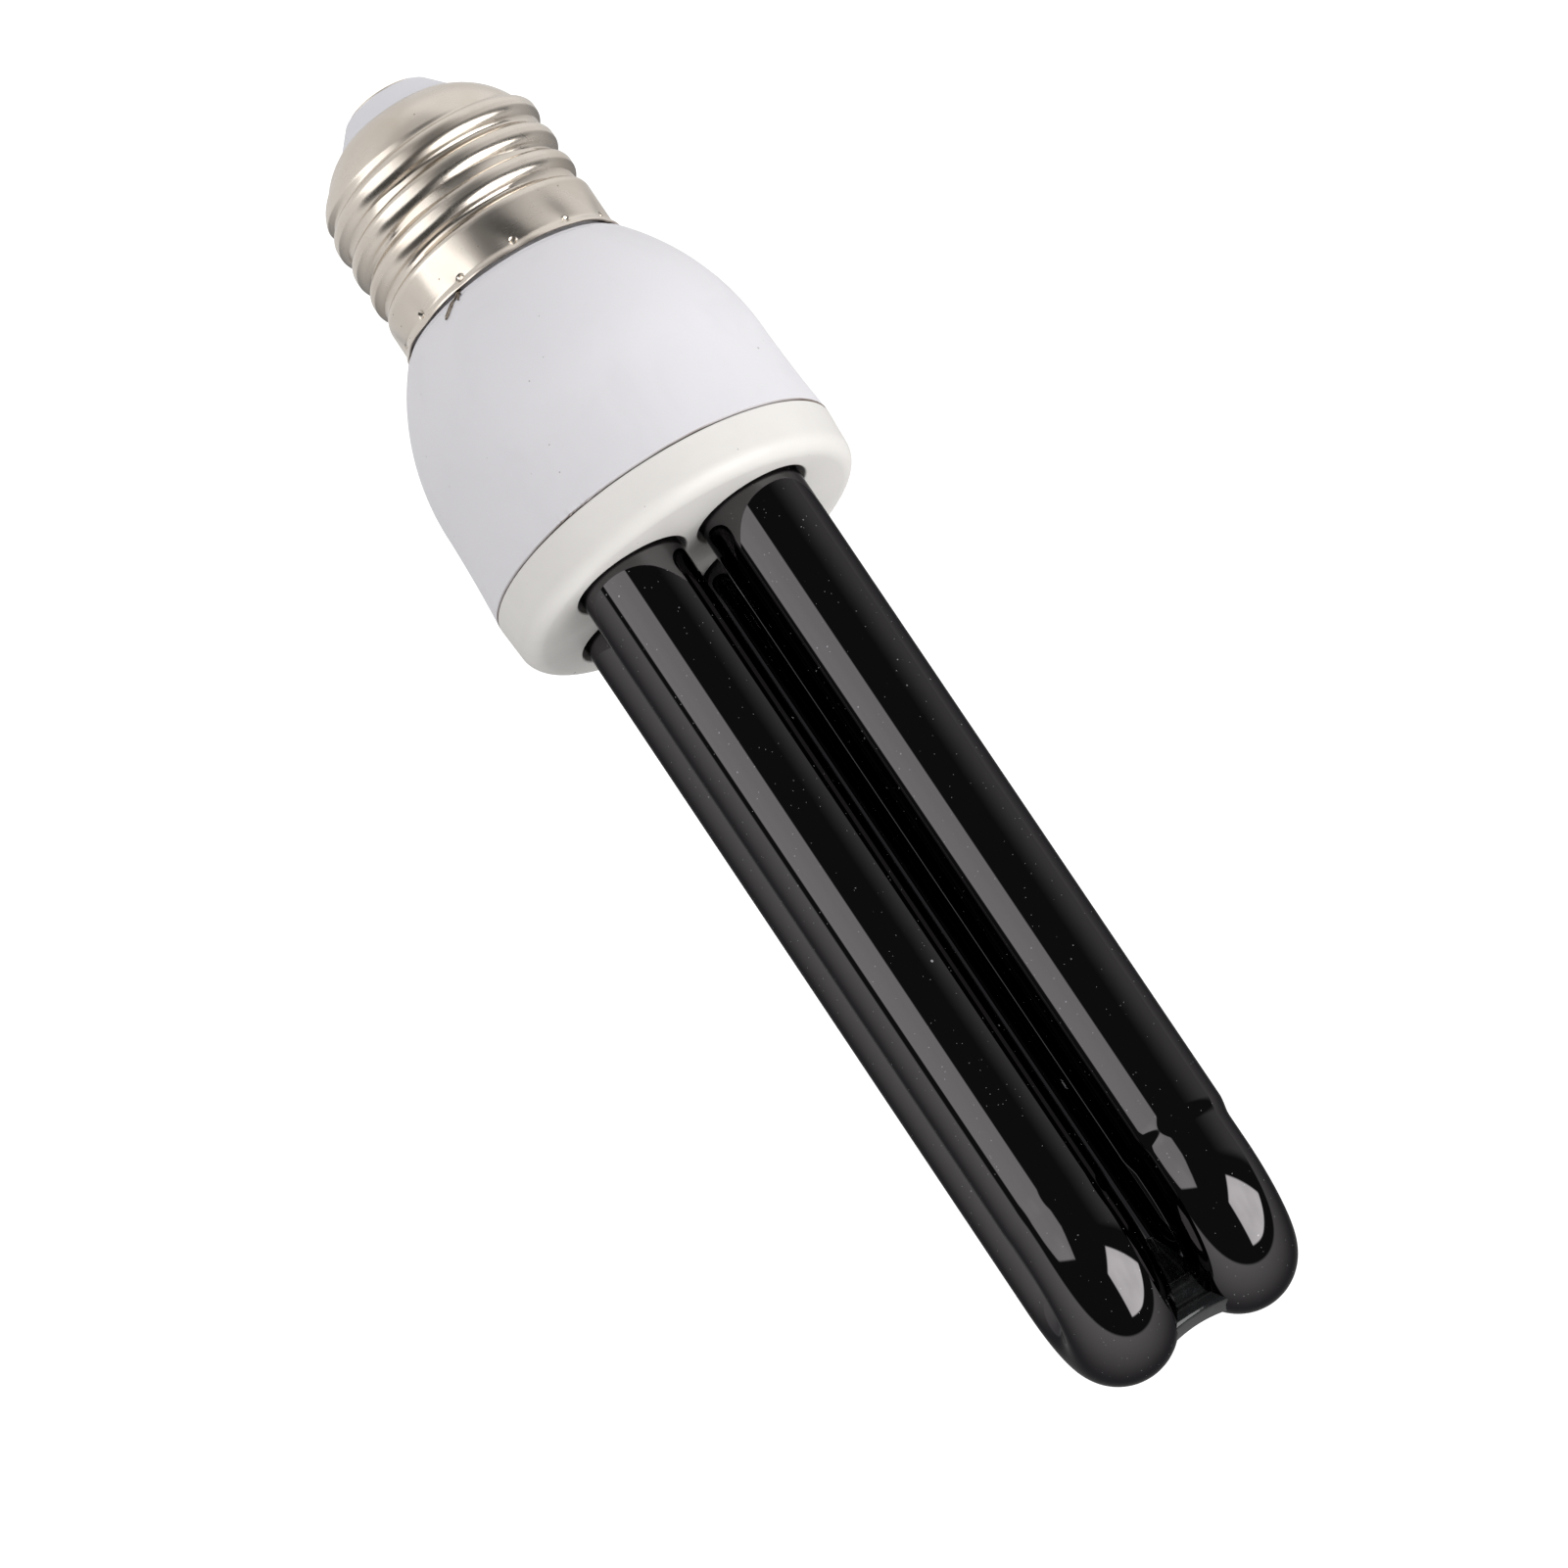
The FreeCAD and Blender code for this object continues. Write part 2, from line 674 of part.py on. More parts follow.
circles(exit_sketch, [(exit_reach * cosine(S.exit_turn), exit_reach * sine(S.exit_turn))],
        S.neutral_radius + 2.0 * S.neck_gap)
pocket(upper, "ExitNotch", exit_sketch, S.neck_length + S.neck_gap, reverse=True)
shelf_sketch = make_sketch(upper, "ShelfSketch", "XY_Plane", neck_end)
circles(shelf_sketch, [(shoulder_radius * cosine(S.exit_turn), shoulder_radius * sine(S.exit_turn))],
        shoulder_radius - exit_reach + 2.0 * S.neutral_radius)
pocket(upper, "ExitShelf", shelf_sketch, 2.0 * S.neutral_radius + S.neutral_gap, reverse=True)

# Lower housing: face with four tube holes, band, spigot with its snap bead, and four clips for the board.

lower = make_body("lower_housing")
band_radius = seam_radius - S.band_inset
corner_height = face_height - S.corner_radius
revolve(lower, "LowerTurn", [
    (spigot_bore, spigot_start),
    (spigot_radius, spigot_start),
    (spigot_radius, snap_height - bead_half),
    (spigot_radius + S.snap_size, snap_height),
    (spigot_radius, snap_height + bead_half),
    (spigot_radius, seam_height),
    (seam_radius, seam_height),
    (band_radius, corner_height),
    (band_radius - S.corner_radius, face_height, S.corner_radius),
    (0, face_height),
    (0, face_inside),
    (spigot_bore, face_inside),
])
legs = [(x * leg_offset, y * leg_offset) for x in (-1, 1) for y in (-1, 1)]
hole_sketch = circles(make_sketch(lower, "TubeHoleSketch", "XY_Plane", face_height), legs,
                      S.tube_radius + S.tube_gap)
pocket(lower, "TubeHoles", hole_sketch, S.face_wall)
clip_front = board_radius - S.clip_shelf
clip_bore = board_radius + S.board_clearance
clip_back = board_radius + S.board_margin * 0.8
clip_top = board_height - S.hook_gap
clip_end = board_height - S.clip_tip
clip_sketch = outline(make_sketch(lower, "ClipSketch"), [
    (clip_front, board_under),
    (clip_bore, board_under),
    (clip_bore, clip_top),
    (board_radius - S.clip_hook, clip_top),
    (board_radius + S.clip_lead_in, clip_end),
    (clip_back, clip_end),
    (clip_back, spigot_start + S.clip_root),
    (spigot_bore - S.clip_sink, spigot_start + S.clip_root),
    (clip_front, spigot_start - S.clip_slope),
])
clip = pad(lower, "Clip", clip_sketch, S.clip_width, symmetric=True)
doc.recompute()
polar(lower, "Clips", [clip], 4)

# Discharge tube: one closed glass vessel of two bent tubes and the short tube that joins them.

glass = make_body("discharge_tube")
path_sketch = make_sketch(glass, "BendPath", "YZ_Plane", -leg_offset)
outline(path_sketch, [
    (-leg_offset, leg_foot),
    (-leg_offset, bend_height),
    (0, bend_height + leg_offset, -leg_offset),
    (leg_offset, bend_height, -leg_offset),
    (leg_offset, leg_foot),
], closed=False)
ring_sketch = circles(make_sketch(glass, "TubeRing", "XY_Plane", leg_foot), [(-leg_offset, -leg_offset)],
                      S.tube_radius)
bend = glass.newObject("PartDesign::AdditivePipe", "Bend")
bend.Profile = ring_sketch
bend.Spine = (path_sketch, ["Edge1", "Edge2", "Edge3", "Edge4"])
doc.recompute()
feet = glass.newObject("PartDesign::Fillet", "ClosedEnds")
feet.Base = (bend, [
    "Edge%d" % (number + 1) for number, edge in enumerate(bend.Shape.Edges)
    if edge.isClosed() and edge.BoundBox.ZLength < 0.01 and abs(edge.BoundBox.ZMin - leg_foot.number) < 0.01])
bind(feet, Radius=S.foot_rounding)
doc.recompute()
seal_half = (S.seal_width / 2, S.seal_thickness / 2)
seal_sketch = outline(make_sketch(glass, "SealSketch", "XY_Plane", seal_height), [
    (x * seal_half[0] - leg_offset, y * seal_half[1] - leg_offset)
    for x, y in ((-1, -1), (1, -1), (1, 1), (-1, 1))])
seal = pad(glass, "PressSeal", seal_sketch, S.seal_length + 1.0)
doc.recompute()
mirror = glass.newObject("PartDesign::Mirrored", "SecondBend")
mirror.Originals = [bend, feet, seal]
mirror.MirrorPlane = (plane_of(glass, "YZ_Plane"), [""])
glass.Tip = mirror
doc.recompute()
bridge_sketch = circles(make_sketch(glass, "BridgeRing", "YZ_Plane"), [(leg_offset, bridge_height)],
                        S.bridge_radius)
pad(glass, "Bridge", bridge_sketch, 2.0 * leg_offset, symmetric=True)
waist_sweep = (S.leg_gap + S.waist_depth - S.waist_gap) / 2
for number, (x, y) in enumerate(legs, start=1):
    waist = glass.newObject("PartDesign::SubtractiveTorus", "Waist%d" % number)
    bind(waist, Radius1=S.tube_radius + waist_sweep - S.waist_depth, Radius2=waist_sweep)
    place(waist, x, y, bend_height - S.waist_drop)

# Drop of adhesive between the two bends, hollow on its outer side.

adhesive_end = tip_height - S.adhesive_drop
drop = box("AdhesiveBlock", 2.0 * leg_offset - S.tube_radius, S.adhesive_width, S.adhesive_height,
           S.tube_radius / 2 - leg_offset, -S.adhesive_width / 2, adhesive_end - S.adhesive_height)
hollow = cylinder("AdhesiveHollow", S.adhesive_hollow, 2.0 * S.adhesive_width, 0, S.adhesive_width,
                  adhesive_end + S.adhesive_hollow - S.adhesive_sink, 90, (1, 0, 0))
between = cut("AdhesiveBetween", drop, glass)
keep(cut("AdhesiveDrop", between, hollow), "tip_adhesive")

# Cement that holds the legs in the lower housing.

cement_disc = cylinder("CementDisc", spigot_bore - S.cement_gap, S.cement_height,
                       0, 0, face_inside - S.cement_inset - S.cement_height)
keep(cut("Cement", cement_disc, glass), "tube_cement")

# Circuit board with its lead holes. The circuit is laid out for a full-size lamp, and a narrower wall, neck
# or dome takes smaller parts, set closer together.

LAYOUT_RADIUS = 17.3
LAYOUT_NECK = 11.35
LAYOUT_HEIGHT = 19.5
fit = smallest([board_radius / LAYOUT_RADIUS, neck_bore / LAYOUT_NECK,
                (board_height - rim_height) / LAYOUT_HEIGHT])

LEAD_SPOTS = {
    "choke": [(-12.2, -4.9), (-12.2, 4.9), (-2.2, -4.9), (-2.2, 4.9)],
    "smoothing": [(5.9, -2.5), (5.9, 2.5)],
    "driver": [(0.2, 8.7), (5.8, 8.7), (0.2, 13.3), (5.8, 13.3)],
    "switch_1": [(-8.3, -10.6), (-5.8, -10.6), (-3.3, -10.6)],
    "switch_2": [(-8.3, 10.6), (-5.8, 10.6), (-3.3, 10.6)],
    "resonance": [(2.8, -10.0), (10.2, -10.0)],
    "coupling": [(13.6, -2.5), (13.6, 2.5)],
    "rectifier_1": [(10.9, 5.4), (10.9, 7.8)],
    "rectifier_2": [(13.9, 5.4), (13.9, 7.8)],
    "rectifier_3": [(11.4, -5.3), (9.0, -6.1)],
    "rectifier_4": [(14.2, -5.6), (12.9, -7.6)],
    "fusible": [(10.3, 10.9), (7.9, 11.5)],
    "starting": [(-12.2, -8.7), (-10.5, -7.7)],
    "trigger": [(-12.2, 8.7), (-10.5, 7.7)],
    "pins": [(-6.4, -14.4), (-3.4, -14.9), (3.4, -14.9), (6.4, -14.4)],
    "live": [(-0.05, -7.9)],
    "neutral": [(1.2, -6.6)],
}
SPOTS = {group: [(x * fit, y * fit) for x, y in spots] for group, spots in LEAD_SPOTS.items()}

board = make_body("circuit_board")
board_sketch = circles(make_sketch(board, "BoardSketch", "XY_Plane", board_height), [(0, 0)], board_radius)
pad(board, "Board", board_sketch, S.board_thickness)
small_spots = [spot for group, spots in SPOTS.items() if group not in ("pins", "live") for spot in spots]
lead_holes = circles(make_sketch(board, "LeadHoles", "XY_Plane", board_height), small_spots, S.hole_radius)
pocket(board, "LeadHoleCut", lead_holes, S.board_thickness, reverse=True)
wide_holes = circles(make_sketch(board, "WideHoles", "XY_Plane", board_height),
                     SPOTS["pins"] + SPOTS["live"], S.live_radius + S.live_gap)
pocket(board, "WideHoleCut", wide_holes, S.board_thickness, reverse=True)

# How far a lead reaches up into its component.
LEAD_SINK = 0.6


def leads(name, group, start=None):
    """Leads of a component, through the board, each with its foot of solder under it."""
    shapes = []
    top = board_height - LEAD_SINK if start is None else start
    length = board_under + S.lead_tail - top
    for number, (x, y) in enumerate(SPOTS[group]):
        shapes.append(cylinder("%sLead%d" % (name, number), S.lead_radius, length, x, y, top))
        shapes.append(cone("%sSolder%d" % (name, number), S.solder_radius, S.lead_radius, S.solder_height,
                           x, y, board_under))
    return shapes


# Choke: two-window ferrite core, moulded bobbin and copper coil.

choke_x = -7.2 * fit
core_width = 12.4 * fit
core_depth = 5.0 * fit
core_height = 12.4 * fit
core_lift = 1.2 * fit
limb = 1.7 * fit
window = 2.9 * fit
bobbin_flange = 0.8 * fit
bobbin_wall = 0.6 * fit
bobbin_depth = 12.0 * fit
rail_width = 12.0 * fit
coil_inset = 0.4 * fit
winding_gap = 0.1 * fit
core_base = board_height - core_lift - core_height
core_left = choke_x - core_width / 2
core = make_body("choke_core")
core_sketch = make_sketch(core, "CoreSketch")
outline(core_sketch, [
    (core_left, core_base), (core_left + core_width, core_base),
    (core_left + core_width, core_base + core_height), (core_left, core_base + core_height)])
for low in (core_left + limb, core_left + core_width - limb - window):
    outline(core_sketch, [
        (low, core_base + limb), (low + window, core_base + limb),
        (low + window, core_base + core_height - limb), (low, core_base + core_height - limb)])
pad(core, "Core", core_sketch, core_depth, symmetric=True)

post_width = core_width - 2.0 * (limb + window)
hole_size = (post_width + winding_gap, core_depth + winding_gap)
tube_size = (post_width + 2.0 * bobbin_wall, core_depth + 2.0 * bobbin_wall)
flange_size = (core_width - 2.0 * (limb + winding_gap), bobbin_depth)
bobbin_low = core_base + limb + winding_gap
bobbin_height = core_height - 2.0 * (limb + winding_gap)
bobbin_high = bobbin_low + bobbin_height


def ring_block(name, outside, inside, low_z, height):
    """A rectangular ring round the core's middle limb, its sizes as (width, depth)."""
    blocks = []
    for end, (width, depth) in (("Outer", outside), ("Inner", inside)):
        blocks.append(box(name + end, width, depth, height, choke_x - width / 2, -depth / 2, low_z))
    return cut(name, *blocks)


bobbin_parts = [
    ring_block("BobbinTube", tube_size, hole_size, bobbin_low, bobbin_height),
    ring_block("BobbinTop", flange_size, hole_size, bobbin_low, bobbin_flange),
    ring_block("BobbinFoot", flange_size, hole_size, bobbin_high - bobbin_flange, bobbin_flange),
]
rail_depth = (bobbin_depth - core_depth) / 2 - winding_gap
for name, low_y in (("RailFront", -bobbin_depth / 2), ("RailBack", core_depth / 2 + winding_gap)):
    bobbin_parts.append(box(name, rail_width, rail_depth, board_height - bobbin_high,
                            choke_x - rail_width / 2, low_y, bobbin_high))
fuse("choke_bobbin", bobbin_parts + leads("Choke", "choke"))
wound_gap = winding_gap / 4
coil_size = (flange_size[0] - 2.0 * winding_gap, bobbin_depth - 2.0 * coil_inset)
coil_hole = (tube_size[0] + 2.0 * wound_gap, tube_size[1] + 2.0 * wound_gap)
keep(ring_block("Coil", coil_size, coil_hole, bobbin_low + bobbin_flange + wound_gap,
                bobbin_height - 2.0 * (bobbin_flange + wound_gap)), "choke_coil")

# Feedback transformer: a ferrite ring with nine turns round it, lying on its former.

driver_x = 3.0 * fit
driver_y = 11.0 * fit
ring_outer = 4.0 * fit
ring_inner = 2.2 * fit
ring_height = 3.0 * fit
ring_lift = 0.9 * fit
turn_wire = 0.4 * fit
turn_count = 9
former_width = 7.2 * fit
former_depth = 6.2 * fit
former_height = ring_lift - turn_wire * 0.75
ring_low = board_height - ring_lift - ring_height
ring_bar = cylinder("RingOuter", ring_outer, ring_height, driver_x, driver_y, ring_low)
ring_hole = cylinder("RingInner", ring_inner, ring_height, driver_x, driver_y, ring_low)
driver_parts = [cut("Ring", ring_bar, ring_hole)]
for index in range(turn_count):
    angle = index * 360.0 / turn_count
    swing = math.radians(angle)
    start = ring_inner - turn_wire
    loop = box("Turn%d" % index, ring_outer - ring_inner + 2.0 * turn_wire, turn_wire,
               ring_height + 2.0 * turn_wire, 0, 0, 0)
    place(loop, driver_x + start * math.cos(swing) + turn_wire * (math.sin(swing) / 2.0),
          driver_y + start * math.sin(swing) - turn_wire * (math.cos(swing) / 2.0),
          ring_low - turn_wire, angle)
    driver_parts.append(loop)
driver_parts.append(box("DriverFormer", former_width, former_depth, former_height,
                        driver_x - former_width / 2, driver_y - former_depth / 2, board_height - former_height))
fuse("driver_transformer", driver_parts + leads("Driver", "driver"))

# Smoothing capacitor: a can on long leads, so that it stands in the cool neck.

can_radius = 5.0 * fit
can_height = 16.0 * fit
can_lead = 4.0 * fit
can_rounding = 0.6 * fit
can_low = board_height - can_lead - can_height
can = cylinder("Can", can_radius, can_height, SPOTS["smoothing"][0][0], 0, can_low)
can_edge = doc.addObject("Part::Fillet", "CanEdge")
can_edge.Base = can
doc.recompute()
can_edge.Edges = [(number + 1, can_rounding.number, can_rounding.number)
                  for number, edge in enumerate(can.Shape.Edges) if edge.isClosed()]
fuse("smoothing_capacitor", [can_edge] + leads("Can", "smoothing", board_height - can_lead - LEAD_SINK))

# Two switching transistors in flat plastic cases, and two film capacitors.

case_width = 7.8 * fit
case_depth = 2.7 * fit
case_height = 9.6 * fit
case_lift = 1.2 * fit
for number in (1, 2):
    group = "switch_%d" % number
    middle_x, middle_y = SPOTS[group][1]
    case = box("Case%d" % number, case_width, case_depth, case_height, middle_x - case_width / 2,
               middle_y - case_depth / 2, board_height - case_lift - case_height)
    fuse("transistor_%d" % number, [case] + leads("Switch%d" % number, group,
                                                  board_height - case_lift - LEAD_SINK))

FILMS = {
    "resonance_capacitor": ("resonance", 10.4, 4.0, 8.0, 6.5, -10.2),
    "coupling_capacitor": ("coupling", 3.3, 7.0, 7.2, 13.6, 0.0),
}
for label, (group, *sizes) in FILMS.items():
    length, width, height, x, y = [number * fit for number in sizes]
    film = box(label + "Case", length, width, height, x - length / 2, y - width / 2, board_height - height)
    fuse(label, [film] + leads(label, group))

# Axial parts that stand on one end, with the other lead bent back to the board.

AXIALS = {
    "rectifier_diode_1": ("rectifier_1", 1.3, 5.2),
    "rectifier_diode_2": ("rectifier_2", 1.3, 5.2),
    "rectifier_diode_3": ("rectifier_3", 1.3, 5.2),
    "rectifier_diode_4": ("rectifier_4", 1.3, 5.2),
    "fusible_resistor": ("fusible", 1.5, 7.0),
    "start_resistor": ("starting", 1.2, 5.0),
    "trigger_diode": ("trigger", 1.0, 4.2),
}
axial_lift = 0.3 * fit
axial_tip = 1.2 * fit
for label, (group, radius, length) in AXIALS.items():
    (x1, y1), (x2, y2) = SPOTS[group]
    span = root((x2 - x1) * (x2 - x1) + (y2 - y1) * (y2 - y1))
    base = board_height - axial_lift - length * fit
    top = base - axial_tip
    shapes = [
        cylinder(label + "Body", radius * fit, length * fit, x1, y1, base),
        cylinder(label + "Tip", S.lead_radius, axial_tip, x1, y1, top),
        cylinder(label + "Down", S.lead_radius, board_height - top, x2, y2, top),
    ]
    arm = cylinder(label + "Arm", S.lead_radius, span, x1, y1, top)
    swing = math.degrees(math.atan2((y2 - y1).number, (x2 - x1).number))
    lean = FreeCAD.Rotation(FreeCAD.Vector(0, 0, 1), swing) * FreeCAD.Rotation(FreeCAD.Vector(0, 1, 0), 90)
    arm.Placement = FreeCAD.Placement(arm.Placement.Base, lean)
    shapes.append(arm)
    for number, (x, y) in enumerate(((x1, y1), (x2, y2))):
        elbow = doc.addObject("Part::Sphere", "%sElbow%d" % (label, number))
        bind(elbow, Radius=S.lead_radius)
        shapes.append(place(elbow, x, y, top))
    fuse(label, shapes + leads(label, group))

# Wrap pins for the electrode leads.

for number, (x, y) in enumerate(SPOTS["pins"], start=1):
    pin = box("Pin%d" % number, S.pin_size, S.pin_size, S.pin_length, x - S.pin_size / 2, y - S.pin_size / 2,
              board_height - S.pin_top)
    foot = cone("PinSolder%d" % number, S.solder_radius + 0.3, S.pin_size * 0.6, S.solder_height, x, y,
                board_under)
    fuse("wrap_pin_%d" % number, [pin, foot])


# Wires: straight runs joined by tangent arcs.

def wire_solid(points, radii, radius):
    """A round wire along the points, with an arc of the given radius at each inner point."""
    spots = [FreeCAD.Vector(*[as_length(value).number for value in point]) for point in points]
    edges = []
    start = spots[0]
    for index, bend_radius in enumerate(radii, start=1):
        before = (spots[index] - spots[index - 1]).normalize()
        after = (spots[index + 1] - spots[index]).normalize()
        turn = before.getAngle(after)
        reach = bend_radius * math.tan(turn / 2.0)
        first = spots[index] - before * reach
        last = spots[index] + after * reach
        inward = (after - before).normalize()
        centre = spots[index] + inward * (bend_radius / math.cos(turn / 2.0))
        middle = centre - inward * bend_radius
        edges.append(Part.LineSegment(start, first).toShape())
        edges.append(Part.Arc(first, middle, last).toShape())
        start = last
    edges.append(Part.LineSegment(start, spots[-1]).toShape())
    path = Part.Wire(edges)
    ring = Part.Wire([Part.makeCircle(radius.number, spots[0], spots[1] - spots[0])])
    return path.makePipeShell([ring], True, False)


def wire(label, points, radii, radius):
    """A wire as a sub-part."""
    feature = doc.addObject("Part::Feature", "Wire_" + label)
    feature.Shape = wire_solid(points, radii, radius)
    return keep(feature, label)


# Live lead: from the stem, up the middle of the neck and beside the choke to the board.

wire_tail = 0.8
(live_x, live_y), = SPOTS["live"]
wire("live_lead", [
    (0, 0, stem_floor + 0.1), (0, 0, rim_height - 13.5), (live_x, live_y, rim_height - 1.5),
    (live_x, live_y, board_under + wire_tail)], [5.0, 5.0], S.live_radius)

# Neutral lead: from the board, down inside the neck, back up in its notch and out under the skirt's edge.


def exit_spot(reach, height, swing=0.0):
    """A point at a distance from the axis, near the neutral lead's notch."""
    angle = math.radians(S.exit_turn.number + swing)
    return (reach * math.cos(angle), reach * math.sin(angle), height)


(neutral_x, neutral_y), = SPOTS["neutral"]
neutral_reach = neck_radius - S.neutral_radius - 0.02
inner_reach = neck_bore - S.neutral_radius - 0.15
turn_height = neck_start - 1.0
shelf_middle = neck_end + S.neutral_radius + 0.01
wire("neutral_lead", [
    (neutral_x, neutral_y, board_under + wire_tail), (neutral_x, neutral_y, board_height - 10.0 * fit),
    exit_spot(inner_reach, rim_height + 2.5), exit_spot(inner_reach, turn_height),
    exit_spot(neutral_reach, turn_height), exit_spot(neutral_reach, shelf_middle),
    exit_spot(shoulder_radius + 0.9, shelf_middle + 0.02),
    exit_spot(shoulder_radius + 1.75, shelf_middle + 1.1, 5.5)],
    [2.0, 2.0, 0.7, 0.7, 0.35, 0.6], S.neutral_radius)

# Electrode leads: from each press seal to its wrap pin.

lead_spread = 2.0
wrap_height = board_under + S.lead_tail + 0.7
for number, (x, y) in enumerate(SPOTS["pins"], start=1):
    side = -1.0 if number < 3 else 1.0
    outward = side if number in (1, 4) else -side
    seal_x = side * leg_offset + outward * lead_spread
    stop_y = y + S.pin_size / 2 + S.wire_radius
    wire("electrode_lead_%d" % number, [
        (seal_x, -leg_offset, seal_height), (seal_x, -leg_offset, wrap_height), (x, stop_y, wrap_height)],
        [0.6], S.wire_radius)

# Final checks, and one file for each sub-part.

doc.recompute()
for obj in doc.Objects:
    if "Invalid" in obj.State or "Error" in obj.State:
        raise RuntimeError("%s failed: %s" % (obj.Label, obj.State))
os.makedirs("parts", exist_ok=True)
for label, obj in PIECES.items():
    shape = obj.Shape
    if shape.isNull() or not shape.isValid() or not shape.Solids:
        raise RuntimeError("%s has no valid solid" % label)
    shape.exportStep("parts/%s.step" % label)
    print("%-22s %8.1f mm3 %4d faces %d solid" % (label, shape.Volume, len(shape.Faces), len(shape.Solids)))
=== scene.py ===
import math

import bmesh
import bpy
import numpy as np
from mathutils import Matrix, Vector


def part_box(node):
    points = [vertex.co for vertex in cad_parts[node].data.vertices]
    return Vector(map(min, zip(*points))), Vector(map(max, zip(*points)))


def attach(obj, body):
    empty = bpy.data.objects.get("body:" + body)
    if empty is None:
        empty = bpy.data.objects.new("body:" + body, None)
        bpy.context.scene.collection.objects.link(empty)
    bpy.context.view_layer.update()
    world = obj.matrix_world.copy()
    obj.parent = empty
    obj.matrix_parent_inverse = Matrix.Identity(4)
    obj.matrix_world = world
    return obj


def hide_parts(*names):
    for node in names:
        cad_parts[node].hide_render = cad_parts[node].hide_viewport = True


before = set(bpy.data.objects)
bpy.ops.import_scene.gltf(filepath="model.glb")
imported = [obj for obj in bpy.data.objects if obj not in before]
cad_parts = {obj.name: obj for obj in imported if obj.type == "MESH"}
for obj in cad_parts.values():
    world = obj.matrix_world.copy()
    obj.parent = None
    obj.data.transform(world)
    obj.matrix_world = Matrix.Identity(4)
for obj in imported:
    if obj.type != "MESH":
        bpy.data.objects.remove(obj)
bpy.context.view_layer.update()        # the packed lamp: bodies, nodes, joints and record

bl_info = {
    "name": "Black Light Lamp",
    "version": (1, 0, 0),
    "blender": (4, 5, 0),
    "location": "View3D > Sidebar > Lamp",
    "description": "Builds the looks of a compact black-light lamp round its packed construction",
    "category": "Object",
}

MM = 0.001
SEED = 11

# Sizes that the packed lamp gives.

SHELL_LOW, SHELL_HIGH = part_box("screw_shell")
UPPER_LOW, UPPER_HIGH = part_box("upper_housing")
LOWER_LOW, LOWER_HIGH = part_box("lower_housing")
TUBE_LOW, TUBE_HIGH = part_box("discharge_tube")
DROP_LOW, DROP_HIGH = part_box("tip_adhesive")
CONTACT_LOW, CONTACT_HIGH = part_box("centre_contact")
INSULATOR_LOW, INSULATOR_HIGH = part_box("cap_insulator")


def shade(red, green, blue):
    """A colour as it shows on screen, as linear values."""
    values = [level / 255.0 for level in (red, green, blue)]
    return tuple(v / 12.92 if v <= 0.04045 else ((v + 0.055) / 1.055) ** 2.4 for v in values)


def size_prop(name, description, value):
    """A length in metres, given in millimetres."""
    return bpy.props.FloatProperty(name=name, description=description, default=value * MM,
                                   unit="LENGTH", precision=5)


def turn_prop(name, description, degrees):
    """An angle, given in degrees."""
    return bpy.props.FloatProperty(name=name, description=description, default=math.radians(degrees),
                                   subtype="ANGLE")


def share_prop(name, description, value):
    """A plain factor."""
    return bpy.props.FloatProperty(name=name, description=description, default=value, subtype="FACTOR",
                                   soft_min=0.0, soft_max=1.0)


def number_prop(name, description, value):
    """A plain number."""
    return bpy.props.FloatProperty(name=name, description=description, default=value, subtype="NONE")


def colour_prop(name, description, red, green, blue):
    """A colour, given as it shows on screen."""
    return bpy.props.FloatVectorProperty(name=name, description=description, size=3, subtype="COLOR",
                                         default=shade(red, green, blue), min=0.0, max=1.0)


